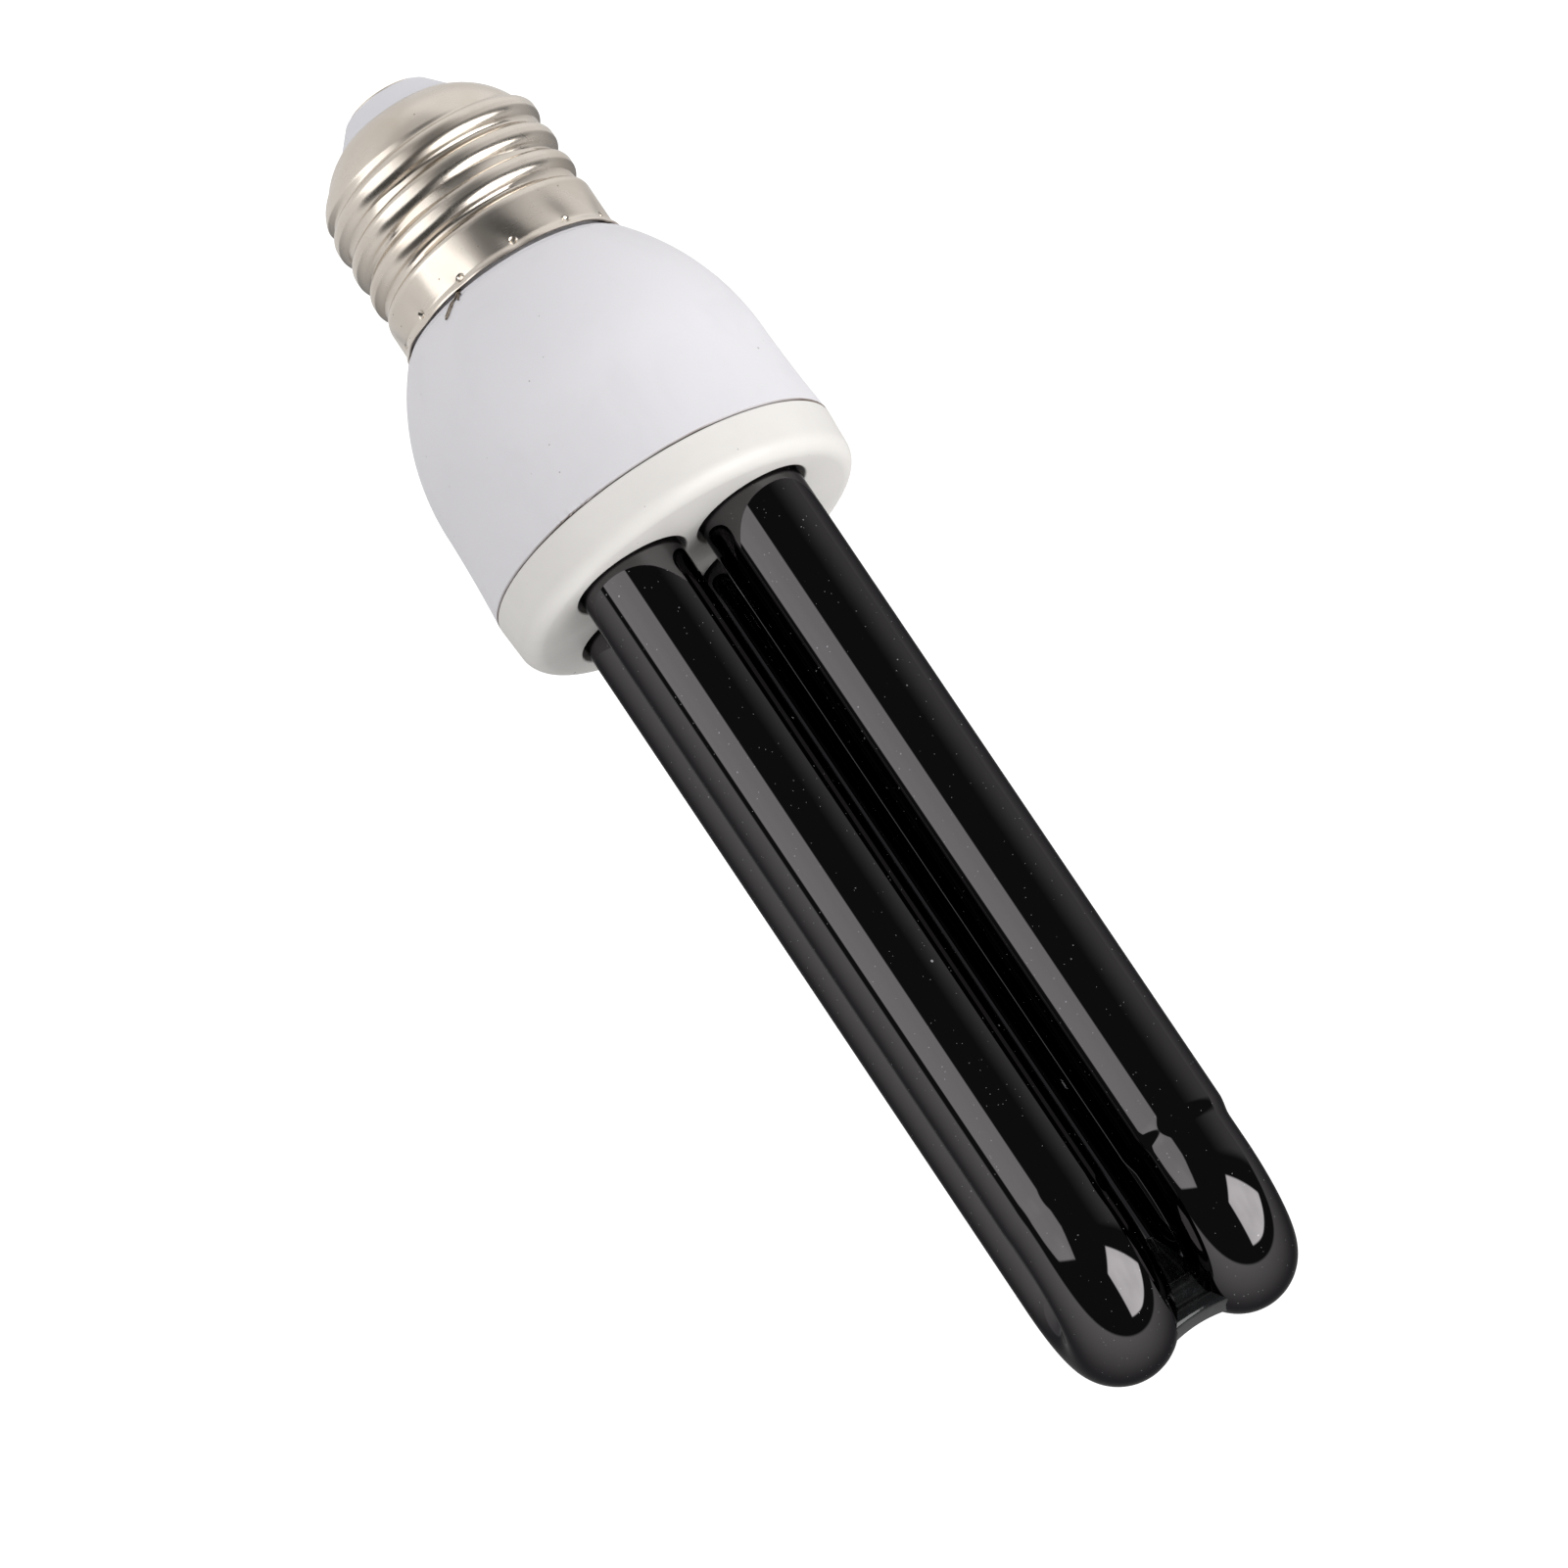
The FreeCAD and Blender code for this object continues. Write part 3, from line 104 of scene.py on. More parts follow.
class LampCapSizes(bpy.types.PropertyGroup):
    """Sizes of the screw cap."""

    thread_crest: size_prop("Thread crest", "Crest radius of the round thread", 13.05)
    thread_depth: size_prop("Thread depth", "Depth of the round thread", 0.95)
    thread_pitch: size_prop("Thread pitch", "Rise of the thread in one turn", 3.629)
    crest_land: size_prop("Crest land", "Half width of the flat part of a crest", 0.24)
    crest_arc: size_prop("Crest arc", "Radius of the rolled crest, the groove taking the rest", 1.25)
    crest_height: size_prop("Crest height", "Height of a crest on the +X side", 11.55)
    lead_in: size_prop("Lead-in", "How far the thread begins before the shoulder's end", 1.15)
    run_out: size_prop("Run-out", "How far the thread ends before the skirt", 0.67)
    fade_turns: share_prop("Fade", "Turns over which the thread fades in and out", 0.3)
    shoulder_end: size_prop("Shoulder end", "Height where the domed shoulder ends", 8.6)
    shoulder_arc: size_prop("Shoulder arc", "Radius of the domed shoulder", 9.4)
    mouth_radius: size_prop("Mouth", "Radius of the shell's edge at the insulator", 7.5)
    skirt_start: size_prop("Skirt start", "Height where the plain skirt begins", 22.6)
    sheet: size_prop("Sheet", "Thickness of the shell's sheet", 0.3)
    rim_flare: size_prop("Rim flare", "How far the skirt's edge turns outwards", 0.35)
    rim_wave: size_prop("Rim wave", "Unevenness of the skirt's edge", 0.25)
    rim_lift: size_prop("Rim lift", "Uneven gap under the skirt's edge", 0.58)
    crimp_count: bpy.props.IntProperty(name="Dents", description="Dents that grip the housing", default=12)
    crimp_drop: size_prop("Dent drop", "Distance of the dents from the skirt's edge", 1.2)
    pit_radius: size_prop("Pit radius", "Radius of the pit in a dent", 0.56)
    pit_depth: size_prop("Pit depth", "Depth of that pit", 0.44)
    dish_radius: size_prop("Dish radius", "Reach of the sheet drawn in round a pit", 1.35)
    dish_depth: size_prop("Dish depth", "Depth of the sheet drawn in", 0.2)
    dent_limit: size_prop("Dent limit", "Deepest that a dent may go", 0.68)
    crimp_turn: turn_prop("Dent turn", "Angle of the first dent about the axis", 25.65)
    burr_turn: turn_prop("Burr turn", "Angle of the small burr on the thread", 9.65)
    burr_height: size_prop("Burr height", "Height of that burr", 13.5)
    burr_size: size_prop("Burr size", "How far it stands out", 0.45)
    contact_radius: size_prop("Contact", "Radius of the contact disc", 4.6)
    stem_radius: size_prop("Stem", "Radius of the hollow stem under the contact", 1.45)
    insulator_top: size_prop("Insulator end", "Radius of the insulator's flat end", 5.1)


class LampHousingSizes(bpy.types.PropertyGroup):
    """Sizes of the two housing shells."""

    neck_radius: size_prop("Neck", "Outside of the neck in the skirt", 12.65)
    dent_pocket: size_prop("Dent pocket", "Depth of the groove that the dents press into", 0.64)
    neck_bore: size_prop("Neck bore", "Inside of the neck", 11.35)
    shoulder_radius: size_prop("Shoulder", "Small shoulder under the skirt's edge", 13.25)
    shoulder_rise: size_prop("Shoulder rise", "Height of that shoulder above the edge", 0.8)
    dome_foot: size_prop("Dome foot", "Radius where the dome begins", 13.93)
    body_radius: size_prop("Body", "Radius where the dome ends", 20.05)
    body_rise: size_prop("Body rise", "Height from the dome's end to the seam", 11.1)
    body_sweep: size_prop("Body sweep", "Radius of the slight hollow below the dome", 165.0)
    wall: size_prop("Wall", "Wall of the dome", 1.5)
    spigot_radius: size_prop("Spigot", "Outside of the spigot inside the seam", 18.85)
    spigot_wall: size_prop("Spigot wall", "Wall of the spigot", 1.15)
    band_inset: size_prop("Band inset", "Taper of the band towards the face", 0.28)
    corner_radius: size_prop("Corner", "Rounding between band and face", 2.05)
    face_wall: size_prop("Face wall", "Thickness of the face", 2.0)
    hole_gap: size_prop("Hole gap", "Gap round each tube in the face", 0.55)
    edge_rounding: size_prop("Edge rounding", "Rounding of moulded edges", 0.16)
    seam_gap: size_prop("Seam gap", "Open joint between the two shells", 0.12)
    flash_size: size_prop("Flash", "Moulding flash left on the seam", 0.3)
    flash_turn: turn_prop("Flash turn", "Angle where the flash is strongest", -62.0)
    exit_turn: turn_prop("Wire exit", "Angle where the neutral wire leaves the skirt", -58.35)


class LampTubeSizes(bpy.types.PropertyGroup):
    """Sizes of the discharge tube."""

    tube_radius: size_prop("Tube", "Outside of the glass tube", 6.1)
    bend_height: size_prop("Bend height", "Height where the bends begin", 148.2)
    leg_foot: size_prop("Leg foot", "Height of the closed ends of the legs", 52.1)
    foot_rounding: size_prop("Foot rounding", "Rounding of the closed ends", 2.2)
    bridge_radius: size_prop("Bridge", "Radius of the short tube between the bends", 3.2)
    bridge_height: size_prop("Bridge height", "Height of that tube", 56.3)
    waist_drop: size_prop("Waist drop", "Distance of the drawn part from each bend", 3.6)
    waist_depth: size_prop("Waist depth", "How much thinner the glass is drawn towards the bend", 0.36)
    waist_length: size_prop("Waist length", "Length over which it gets thinner", 2.5)


class LampFinishes(bpy.types.PropertyGroup):
    """Colours of the lamp."""

    nickel: colour_prop("Nickel", "Plated sheet of the cap", 222, 213, 202)
    nickel_warm: colour_prop("Warm nickel", "Thin plating and handling marks", 208, 195, 179)
    tarnish: colour_prop("Tarnish", "Brown stain on the plating", 96, 80, 66)
    ceramic: colour_prop("Ceramic", "Insulator of the cap", 222, 221, 226)
    housing: colour_prop("Housing", "Upper plastic shell", 228, 226, 230)
    collar: colour_prop("Collar", "Lower plastic shell", 232, 229, 225)
    grime: colour_prop("Grime", "Fine specks in the plastic", 112, 108, 104)
    joint: colour_prop("Joint", "Dirt in the joint between the shells", 112, 96, 84)
    glass: colour_prop("Glass", "Dark glass of the tube", 82, 80, 81)
    glass_edge: colour_prop("Glass edge", "Weakens what the glass mirrors near its outline", 170, 170, 172)
    dust: colour_prop("Dust", "Dust on the glass", 186, 186, 190)
    adhesive: colour_prop("Adhesive", "Dark adhesive between the bends", 26, 27, 28)
    wire: colour_prop("Wire", "Bare tinned wire", 172, 162, 150)


class LampStage(bpy.types.PropertyGroup):
    """Camera, floor and light."""

    azimuth: turn_prop("Azimuth", "Direction of the camera round the lamp", 9.65)
    elevation: turn_prop("Elevation", "Height of the camera above the horizon", 17.0)
    roll: turn_prop("Roll", "Turn of the camera about its view", 146.19)
    distance: size_prop("Distance", "Distance of the camera from its target", 1700.0)
    lens: number_prop("Lens", "Focal length in millimetres", 372.9)
    target_side: size_prop("Target side", "Target beside the lamp's axis", 5.0)
    target_height: size_prop("Target height", "Target's height on the lamp", 87.51)
    floor_drop: size_prop("Floor drop", "How far the floor lies under the lamp", 200.0)
    floor_radius: size_prop("Floor radius", "Radius of the floor", 12000.0)
    floor_glow: share_prop("Floor glow", "Light that the camera sees added to the floor", 0.45)
    even_light: share_prop("Even light", "Light from all sides", 0.73)
    key_power: number_prop("Key power", "Power of the key light in watts", 15.5)
    key_size: size_prop("Key size", "Width and height of the key light", 1200.0)
    key_reach: size_prop("Key reach", "Distance of the key light from the lamp", 1600.0)
    key_right: number_prop("Key side", "Degrees of the key light right of the camera, cap up", 62.0)
    key_up: number_prop("Key height", "Degrees of the key light above the horizon", 50.0)
    strip_level: number_prop("Strip box", "Brightness of the mirrored strip box", 1.7)
    key_level: number_prop("Key box", "Brightness of the mirrored key box", 4.8)


class Signal:
    """A socket of a finish. Arithmetic on it adds Math nodes."""

    def __init__(self, finish, socket):
        self.finish = finish
        self.socket = socket

    def math(self, operation, other=None, swapped=False):
        """One Math node on this value, and another."""
        values = [self] if other is None else [self, other]
        if swapped:
            values.reverse()
        return self.finish.add("ShaderNodeMath", {"operation": operation}, dict(enumerate(values)))[0]

    def __add__(self, other):
        return self.math("ADD", other)

    def __radd__(self, other):
        return self.math("ADD", other, True)

    def __sub__(self, other):
        return self.math("SUBTRACT", other)

    def __rsub__(self, other):
        return self.math("SUBTRACT", other, True)

    def __mul__(self, other):
        return self.math("MULTIPLY", other)

    def __rmul__(self, other):
        return self.math("MULTIPLY", other, True)


class Finish:
    """A node tree under construction, of a material or of the world."""

    def __init__(self, owner):
        owner.use_nodes = True
        self.owner = owner
        self.tree = owner.node_tree
        self.tree.nodes.clear()

    def add(self, kind, settings=None, inputs=None):
        """A node of that type. Settings are set first, then its sockets get values or links.
        The result is a list of its outputs that are in use."""
        node = self.tree.nodes.new(kind)
        for name, value in (settings or {}).items():
            setattr(node, name, value)
        for key, value in (inputs or {}).items():
            if isinstance(key, int):
                socket = node.inputs[key]
            else:
                socket = next(s for s in node.inputs if s.name == key and s.enabled)
            if isinstance(value, Signal):
                self.tree.links.new(value.socket, socket)
            elif socket.type == "RGBA" and len(value) == 3:
                socket.default_value = (*value, 1.0)
            else:
                socket.default_value = value
        return [Signal(self, s) for s in node.outputs if s.enabled]

    def place(self):
        """The point on the surface, in metres in the lamp's frame."""
        return self.add("ShaderNodeTexCoord")[3]

    def parts(self, vector):
        """The three parts of a vector."""
        return self.add("ShaderNodeSeparateXYZ", None, {"Vector": vector})

    def dot(self, vector, other):
        """Dot product of a vector with a constant one."""
        return self.add("ShaderNodeVectorMath", {"operation": "DOT_PRODUCT"}, {0: vector, 1: other})[0]

    def scaled(self, vector, factors):
        """A vector times another, part by part."""
        return self.add("ShaderNodeVectorMath", {"operation": "MULTIPLY"}, {0: vector, 1: factors})[0]

    def stretched(self, vector, scale):
        """The vector and scale of a pattern. A scale in three parts stretches the vector instead."""
        return (self.scaled(vector, scale), 1.0) if isinstance(scale, tuple) else (vector, scale)

    def noise(self, vector, scale, detail=2.0, roughness=0.5, distortion=0.0):
        """Soft noise from 0 to 1."""
        vector, scale = self.stretched(vector, scale)
        inputs = {"Vector": vector, "Scale": scale, "Detail": detail, "Roughness": roughness,
                  "Distortion": distortion}
        return self.add("ShaderNodeTexNoise", None, inputs)[0]

    def step(self, value, start, end):
        """An eased step from 0 to 1 between start and end."""
        inputs = {"Value": value, "From Min": start, "From Max": end}
        return self.add("ShaderNodeMapRange", {"interpolation_type": "SMOOTHSTEP"}, inputs)[0]

    def blend(self, factor, first, second):
        """From the first colour to the second."""
        inputs = {"Factor": factor, "A": first, "B": second}
        return self.add("ShaderNodeMix", {"data_type": "RGBA"}, inputs)[0]

    def specks(self, vector, scale, size, share):
        """Small round specks: 1 inside, on that share of the scattered points."""
        vector, scale = self.stretched(vector, scale)
        distance, tint = self.add("ShaderNodeTexVoronoi", None, {"Vector": vector, "Scale": scale})[:2]
        chosen = self.step(self.parts(tint)[0], 1.0 - share, 1.0 - share + 0.02)
        return self.step(distance, size, size * 0.6) * chosen

    def bump(self, height, strength, distance):
        """A normal from a height."""
        inputs = {"Height": height, "Strength": strength, "Distance": distance}
        return self.add("ShaderNodeBump", None, inputs)[0]

    def glow(self, kind, strength):
        """A white emission or background."""
        return self.add(kind, None, {"Color": (1.0, 1.0, 1.0), "Strength": strength})[0]

    def choose(self, factor, first, second):
        """The first shader, or the second where the factor is 1."""
        return self.add("ShaderNodeMixShader", None, {0: factor, 1: first, 2: second})[0]

    def surface(self, inputs):
        """The material's surface shader."""
        shader = self.add("ShaderNodeBsdfPrincipled", None, inputs)[0]
        self.add("ShaderNodeOutputMaterial", None, {"Surface": shader})
        return self.owner


def new_finish(name):
    """An empty finish in a new material, and the point on its surface."""
    finish = Finish(bpy.data.materials.new(name))
    return finish, finish.place()


def tone(name):
    """A colour chosen for the lamp."""
    return tuple(getattr(bpy.context.scene.lamp_finishes, name))


# Finishes of the pieces in view.

def nickel_finish():
    """Bright nickel on rolled steel: soft, faintly streaked, with a few stains and pits."""
    finish, place = new_finish("nickel_plate")
    clouds = finish.noise(place, 130.0, 3.0, 0.5, 0.4)
    streaks = finish.noise(place, (90.0, 90.0, 1500.0), 3.0, 0.6)
    stain = finish.step(finish.noise(place, 420.0, 3.0, 0.6, 1.2), 0.68, 0.8)
    grain = finish.noise(place, 4200.0, 2.0, 0.6)
    pits = finish.specks(place, 800.0, 0.1, 0.08)
    colour = finish.blend(finish.step(clouds, 0.42, 0.72) * 0.5, tone("nickel"), tone("nickel_warm"))
    colour = finish.blend(stain * 0.22, colour, tone("tarnish"))
    colour = finish.blend(pits * 0.6, colour, tone("tarnish"))
    rough = 0.235 + 0.05 * streaks + 0.05 * finish.step(clouds, 0.35, 0.75) + 0.2 * pits
    normal = finish.bump(grain + streaks, 0.035, 0.02 * MM)
    return finish.surface({"Base Color": colour, "Metallic": 1.0, "Roughness": rough, "Normal": normal})


def contact_finish():
    """Tinned contact: duller, with swirls from wiping."""
    finish, place = new_finish("tinned_contact")
    swirl = finish.noise(place, (900.0, 2400.0, 900.0), 3.0, 0.6, 1.5)
    blotch = finish.step(finish.noise(place, 700.0, 3.0), 0.4, 0.7)
    colour = finish.blend(blotch * 0.6, tone("nickel"), tone("nickel_warm"))
    normal = finish.bump(swirl, 0.25, 0.03 * MM)
    return finish.surface({"Base Color": colour, "Metallic": 1.0, "Roughness": 0.28 + 0.2 * swirl,
                           "Normal": normal})


def ceramic_finish():
    """Pale glazed insulator."""
    finish, place = new_finish("cap_ceramic")
    cloud = finish.noise(place, 500.0, 3.0)
    tiny = finish.specks(place, 1300.0, 0.09, 0.05)
    colour = finish.blend(finish.step(cloud, 0.4, 0.7) * 0.2, tone("ceramic"), tone("housing"))
    colour = finish.blend(tiny * 0.6, colour, tone("grime"))
    normal = finish.bump(finish.noise(place, 2400.0, 2.0), 0.08, 0.02 * MM)
    return finish.surface({"Base Color": colour, "Roughness": 0.42 + 0.12 * cloud, "Normal": normal})


def plastic_finish(name, colour_name, rough, texture):
    """Moulded plastic: faint flow clouds, a fine moulded grain and scattered dark specks."""
    finish, place = new_finish(name)
    base, grime = tone(colour_name), tone("grime")
    deeper = tuple(value * 0.93 for value in base)
    cloud = finish.noise(place, 90.0, 3.0, 0.6, 0.8)
    grain = finish.noise(place, 2600.0, 3.0, 0.7)
    large = finish.specks(place, 250.0, 0.045, 0.4)
    small = finish.specks(place, 420.0, 0.045, 0.35) + finish.specks(place, 900.0, 0.07, 0.12)
    colour = finish.blend(finish.step(cloud, 0.4, 0.75) * 0.5, base, deeper)
    colour = finish.blend(finish.step(grain, 0.4, 0.8) * 0.12, colour, deeper)
    colour = finish.blend(large * 0.75, colour, grime)
    colour = finish.blend(small * 0.6, colour, grime)
    above_seam = (finish.parts(place)[2] - UPPER_HIGH.z).math("ABSOLUTE")
    patch = finish.step(finish.noise(place, 70.0, 2.0), 0.4, 0.6)
    joint = finish.step(above_seam, 0.2 * MM, 0.07 * MM) * (0.35 + 0.55 * patch)
    colour = finish.blend(joint, colour, tone("joint"))
    normal = finish.bump(grain, texture, 0.02 * MM)
    return finish.surface({"Base Color": colour, "Roughness": rough + 0.12 * cloud, "IOR": 1.46,
                           "Normal": normal})


def glass_finish():
    """Dark glass: glossy and almost black, with dust and lint lying on it."""
    finish, place = new_finish("dark_glass")
    patches = finish.step(finish.noise(place, 110.0, 2.0), 0.5, 0.62)
    fine = finish.specks(place, 1100.0, 0.12, 0.35) * patches
    coarse = finish.specks(place, 420.0, 0.08, 0.05)
    large = finish.specks(place, 150.0, 0.03, 0.05)
    lint = finish.specks(place, (420.0, 420.0, 90.0), 0.08, 0.05)
    tiny = finish.specks(place, 2000.0, 0.13, 0.2) * 0.5
    dust = (0.5 * fine + 0.75 * coarse + large + lint + tiny).math("MINIMUM", 1.0)
    smear = finish.noise(place, (60.0, 60.0, 18.0), 3.0, 0.6, 0.5)
    rough = 0.02 + 0.035 * finish.step(smear, 0.45, 0.75) + 0.5 * dust
    normal = finish.bump(finish.noise(place, (160.0, 160.0, 30.0), 1.0), 0.05, 0.05 * MM)
    colour = finish.blend(dust, tone("glass"), tone("dust"))
    return finish.surface({"Base Color": colour, "Roughness": rough, "Metallic": 1.0 - dust,
                           "Specular Tint": tone("glass_edge"), "Normal": normal})


def adhesive_finish():
    """Dark, slightly clouded adhesive."""
    finish, place = new_finish("dark_adhesive")
    cloud = finish.noise(place, 900.0, 4.0, 0.6, 0.4)
    paler = tuple(value * 3.0 for value in tone("adhesive"))
    colour = finish.blend(finish.step(cloud, 0.5, 0.75) * 0.7, tone("adhesive"), paler)
    normal = finish.bump(cloud, 0.2, 0.08 * MM)
    return finish.surface({"Base Color": colour, "Roughness": 0.08 + 0.15 * cloud, "IOR": 1.5,
                           "Normal": normal})


def wire_finish():
    """Bare tinned wire, drawn lengthwise."""
    finish, place = new_finish("tinned_wire")
    drawn = finish.noise(place, 3000.0, 3.0)
    colour = finish.blend(finish.step(drawn, 0.4, 0.7), tone("wire"), tone("tarnish"))
    return finish.surface({"Base Color": colour, "Metallic": 1.0, "Roughness": 0.3 + 0.2 * drawn})


def inner_finish(name, colour, second, metallic, rough, scale, stretch):
    """A finish for a piece inside the housing: two tones in a noise of its own scale and grain."""
    finish, place = new_finish(name)
    pattern = finish.noise(place, tuple(scale * part for part in stretch), 4.0, 0.6)
    colour = finish.blend(finish.step(pattern, 0.4, 0.65), shade(*colour), shade(*second))
    normal = finish.bump(pattern, 0.2, 0.04 * MM)
    return finish.surface({"Base Color": colour, "Metallic": metallic, "Roughness": rough + 0.15 * pattern,
                           "Normal": normal})


# Mesh helpers.

def round_angles(count, extra=()):
    """Angles once round, with more of them near each (middle, reach, count) of extra."""
    angles = list(np.arange(count) * (2.0 * math.pi / count))
    for middle, reach, more in extra:
        angles += list(np.mod(np.linspace(middle - reach, middle + reach, more), 2.0 * math.pi))
    angles = np.unique(np.round(angles, 6))
    keep = np.concatenate([[True], np.diff(angles) > 1e-4])
    return angles[keep]


def arc_about(centre, first, last, steps):
    """Points on the arc round a centre from one spoke to another, with both ends."""
    sweep = math.atan2(first.x * last.y - first.y * last.x, first.dot(last))
    points = []
    for step in range(steps + 1):
        turn = sweep * step / steps
        points.append((centre.x + (first.x * math.cos(turn) - first.y * math.sin(turn)),
                       centre.y + (first.x * math.sin(turn) + first.y * math.cos(turn))))
    return points


def rounded_outline(corners, steps):
    """Points of an outline. A corner is (radius, height), or (radius, height, rounding)."""
    points = []
    count = len(corners)
    for index, corner in enumerate(corners):
        here = Vector(corner[:2])
        if len(corner) == 2:
            points.append(tuple(here))
            continue
        before = (Vector(corners[index - 1][:2]) - here).normalized()
        after = (Vector(corners[(index + 1) % count][:2]) - here).normalized()
        angle = before.angle(after)
        reach = corner[2] / math.tan(angle / 2.0)
        centre = here + (before + after).normalized() * (corner[2] / math.sin(angle / 2.0))
        points += arc_about(centre, here + before * reach - centre, here + after * reach - centre, steps)
    return points


def arc_points(start, end, radius, steps):
    """Points on the arc after its start, up to its end. A positive radius turns left."""
    first, last = Vector(start), Vector(end)
    chord = last - first
    half = chord.length / 2.0
    left = Vector((-chord.y, chord.x)).normalized()
    rise = math.copysign(math.sqrt(max(radius * radius - half * half, 0.0)), radius)
    centre = (first + last) / 2.0 + left * rise
    return arc_about(centre, first - centre, last - centre, steps)[1:]


def turned(radii, angles, heights):
    """Points at those radii, angles and heights about the axis."""
    return np.stack([radii * np.cos(angles), radii * np.sin(angles), heights + 0.0 * angles], axis=-1)


def lathe_grid(outline, angles):
    """Points of an outline turned about the axis, as rows of rings."""
    radii, heights = np.array(outline).T[..., None]
    return turned(radii, angles[None, :], heights)


def polar(grid):
    """Radii and angles of a grid's points about the axis."""
    return np.hypot(grid[..., 0], grid[..., 1]), np.arctan2(grid[..., 1], grid[..., 0])


def ripple(chance, counts, angles):
    """An uneven wave round the axis, weaker where it is finer."""
    return sum(chance.uniform(0.3, 1.0) / count * np.sin(count * angles + chance.uniform(0.0, 6.3))
               for count in counts)


def grid_faces(rows, columns, start=0, close_rows=False):
    """Quads between the rings of a grid that closes round its columns."""
    last = rows if close_rows else rows - 1
    row = np.arange(last)[:, None]
    column = np.arange(columns)[None, :]
    after = (row + 1) % rows
    beside = (column + 1) % columns
    quads = np.stack([row * columns + column, row * columns + beside,
                      after * columns + beside, after * columns + column], axis=-1)
    return (quads.reshape(-1, 4) + start).tolist()


def build_mesh(name, grids, close_rows=True):
    """A mesh object from closed grids of rings."""
    points = []
    faces = []
    for grid in grids:
        rows, columns = grid.shape[:2]
        faces += grid_faces(rows, columns, len(points), close_rows)
        points += grid.reshape(-1, 3).tolist()
    mesh = bpy.data.meshes.new(name)
    mesh.from_pydata(points, [], faces)
    work = bmesh.new()
    work.from_mesh(mesh)
    bmesh.ops.remove_doubles(work, verts=work.verts, dist=1e-7)
    bmesh.ops.dissolve_degenerate(work, edges=work.edges, dist=1e-8)
    bmesh.ops.recalc_face_normals(work, faces=work.faces)
    work.to_mesh(mesh)
    work.free()
    piece = bpy.data.objects.new(name, mesh)
    bpy.context.scene.collection.objects.link(piece)
    return piece


def combine(piece, others, operation):
    """Cut other meshes from a piece, or join them to it, and remove them."""
    bpy.context.view_layer.update()
    for other in others:
        change = piece.modifiers.new("combine", "BOOLEAN")
        change.operation = operation
        change.solver = "EXACT"
        change.object = other
    graph = bpy.context.evaluated_depsgraph_get()
    mesh = bpy.data.meshes.new_from_object(piece.evaluated_get(graph))
    piece.modifiers.clear()
    old = piece.data
    piece.data = mesh
    bpy.data.meshes.remove(old)
    for other in others:
        bpy.data.objects.remove(other)
    return piece


def finish_piece(piece, material, node, sharp=35.0):
    """Smooth shading, material, body and the node that the piece stands for."""
    mesh = piece.data
    mesh.materials.clear()
    mesh.materials.append(material)
    mesh.shade_smooth()
    mesh.set_sharp_from_angle(angle=math.radians(sharp))
    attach(piece, "root")
    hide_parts(node)
    return piece


def eased(value):
    """Ease from 0 to 1 between 0 and 1."""
    clipped = np.clip(value, 0.0, 1.0)
    return clipped * clipped * (3.0 - 2.0 * clipped)


def angle_between(angles, middle):
    """Signed angle from a middle, between half a turn each way."""
    return np.mod(angles - middle + math.pi, 2.0 * math.pi) - math.pi


# Screw cap.

def shoulder_profile(cap, heights):
    """Radius of the shell's shoulder below its thread."""
    start = Vector((cap.mouth_radius, SHELL_LOW.z))
    end = Vector((cap.thread_crest - cap.thread_depth, cap.shoulder_end))
    chord = end - start
    half = chord.length / 2.0
    left = Vector((-chord.y, chord.x)).normalized()
    centre = (start + end) / 2.0 + left * math.sqrt(cap.shoulder_arc ** 2 - half * half)
    rise = np.clip(heights, start.y, end.y) - centre.y
    return centre.x + np.sqrt(cap.shoulder_arc ** 2 - rise * rise)


def thread_share(cap, along):
    """Height of the round thread as a share of its depth, by distance from the crest along the axis."""
    half, depth = cap.thread_pitch / 2.0 - cap.crest_land, cap.thread_depth
    along = np.maximum(along - cap.crest_land, 0.0)
    arcs = (half ** 2 + depth ** 2) / (2.0 * depth)
    groove_arc = arcs - cap.crest_arc
    meeting = half * cap.crest_arc / arcs
    crest = depth - cap.crest_arc + np.sqrt(cap.crest_arc ** 2 - np.minimum(along, meeting) ** 2)
    groove = groove_arc - np.sqrt(groove_arc ** 2 - (half - np.maximum(along, meeting)) ** 2)
    return np.where(along < meeting, crest, groove) / depth


def shell_radius(cap, heights, angles):
    """Outer radius of the rolled sheet, with its thread and flared edge."""
    height_turns = (heights - cap.crest_height) / cap.thread_pitch
    turns = height_turns - angles / (2.0 * math.pi)
    offset = turns - np.round(turns)
    crest = thread_share(cap, np.abs(offset) * cap.thread_pitch)
    crest_turn = height_turns - offset
    groove_turn = crest_turn + np.copysign(0.5, offset)
    first_turn = (cap.shoulder_end - cap.lead_in - cap.crest_height) / cap.thread_pitch
    last_turn = (cap.skirt_start - cap.run_out - cap.crest_height) / cap.thread_pitch
    fade_in = eased((crest_turn - first_turn) / cap.fade_turns)
    fade_out = eased((last_turn - groove_turn) / cap.fade_turns)
    start = shoulder_profile(cap, heights) + cap.thread_depth * crest * fade_in
    end = cap.thread_crest - cap.thread_depth * (1.0 - crest) * fade_out
    middle = 0.5 * (cap.shoulder_end + cap.skirt_start)
    radius = np.where(heights < middle, start, end)
    flare = eased((heights - SHELL_HIGH.z + cap.crimp_drop) / cap.crimp_drop)
    return radius + cap.rim_flare * flare


def dent_turns(cap):
    """Angles of the dents about the axis."""
    return [cap.crimp_turn + index * 2.0 * math.pi / cap.crimp_count for index in range(cap.crimp_count)]


# How far a dent may be off its place, how strong it is and how much its fold leans.
DENT_SHIFT, DENT_TURN = 0.15 * MM, 0.012
DENT_STRENGTH, DENT_LEAN = (0.85, 1.06), 0.5


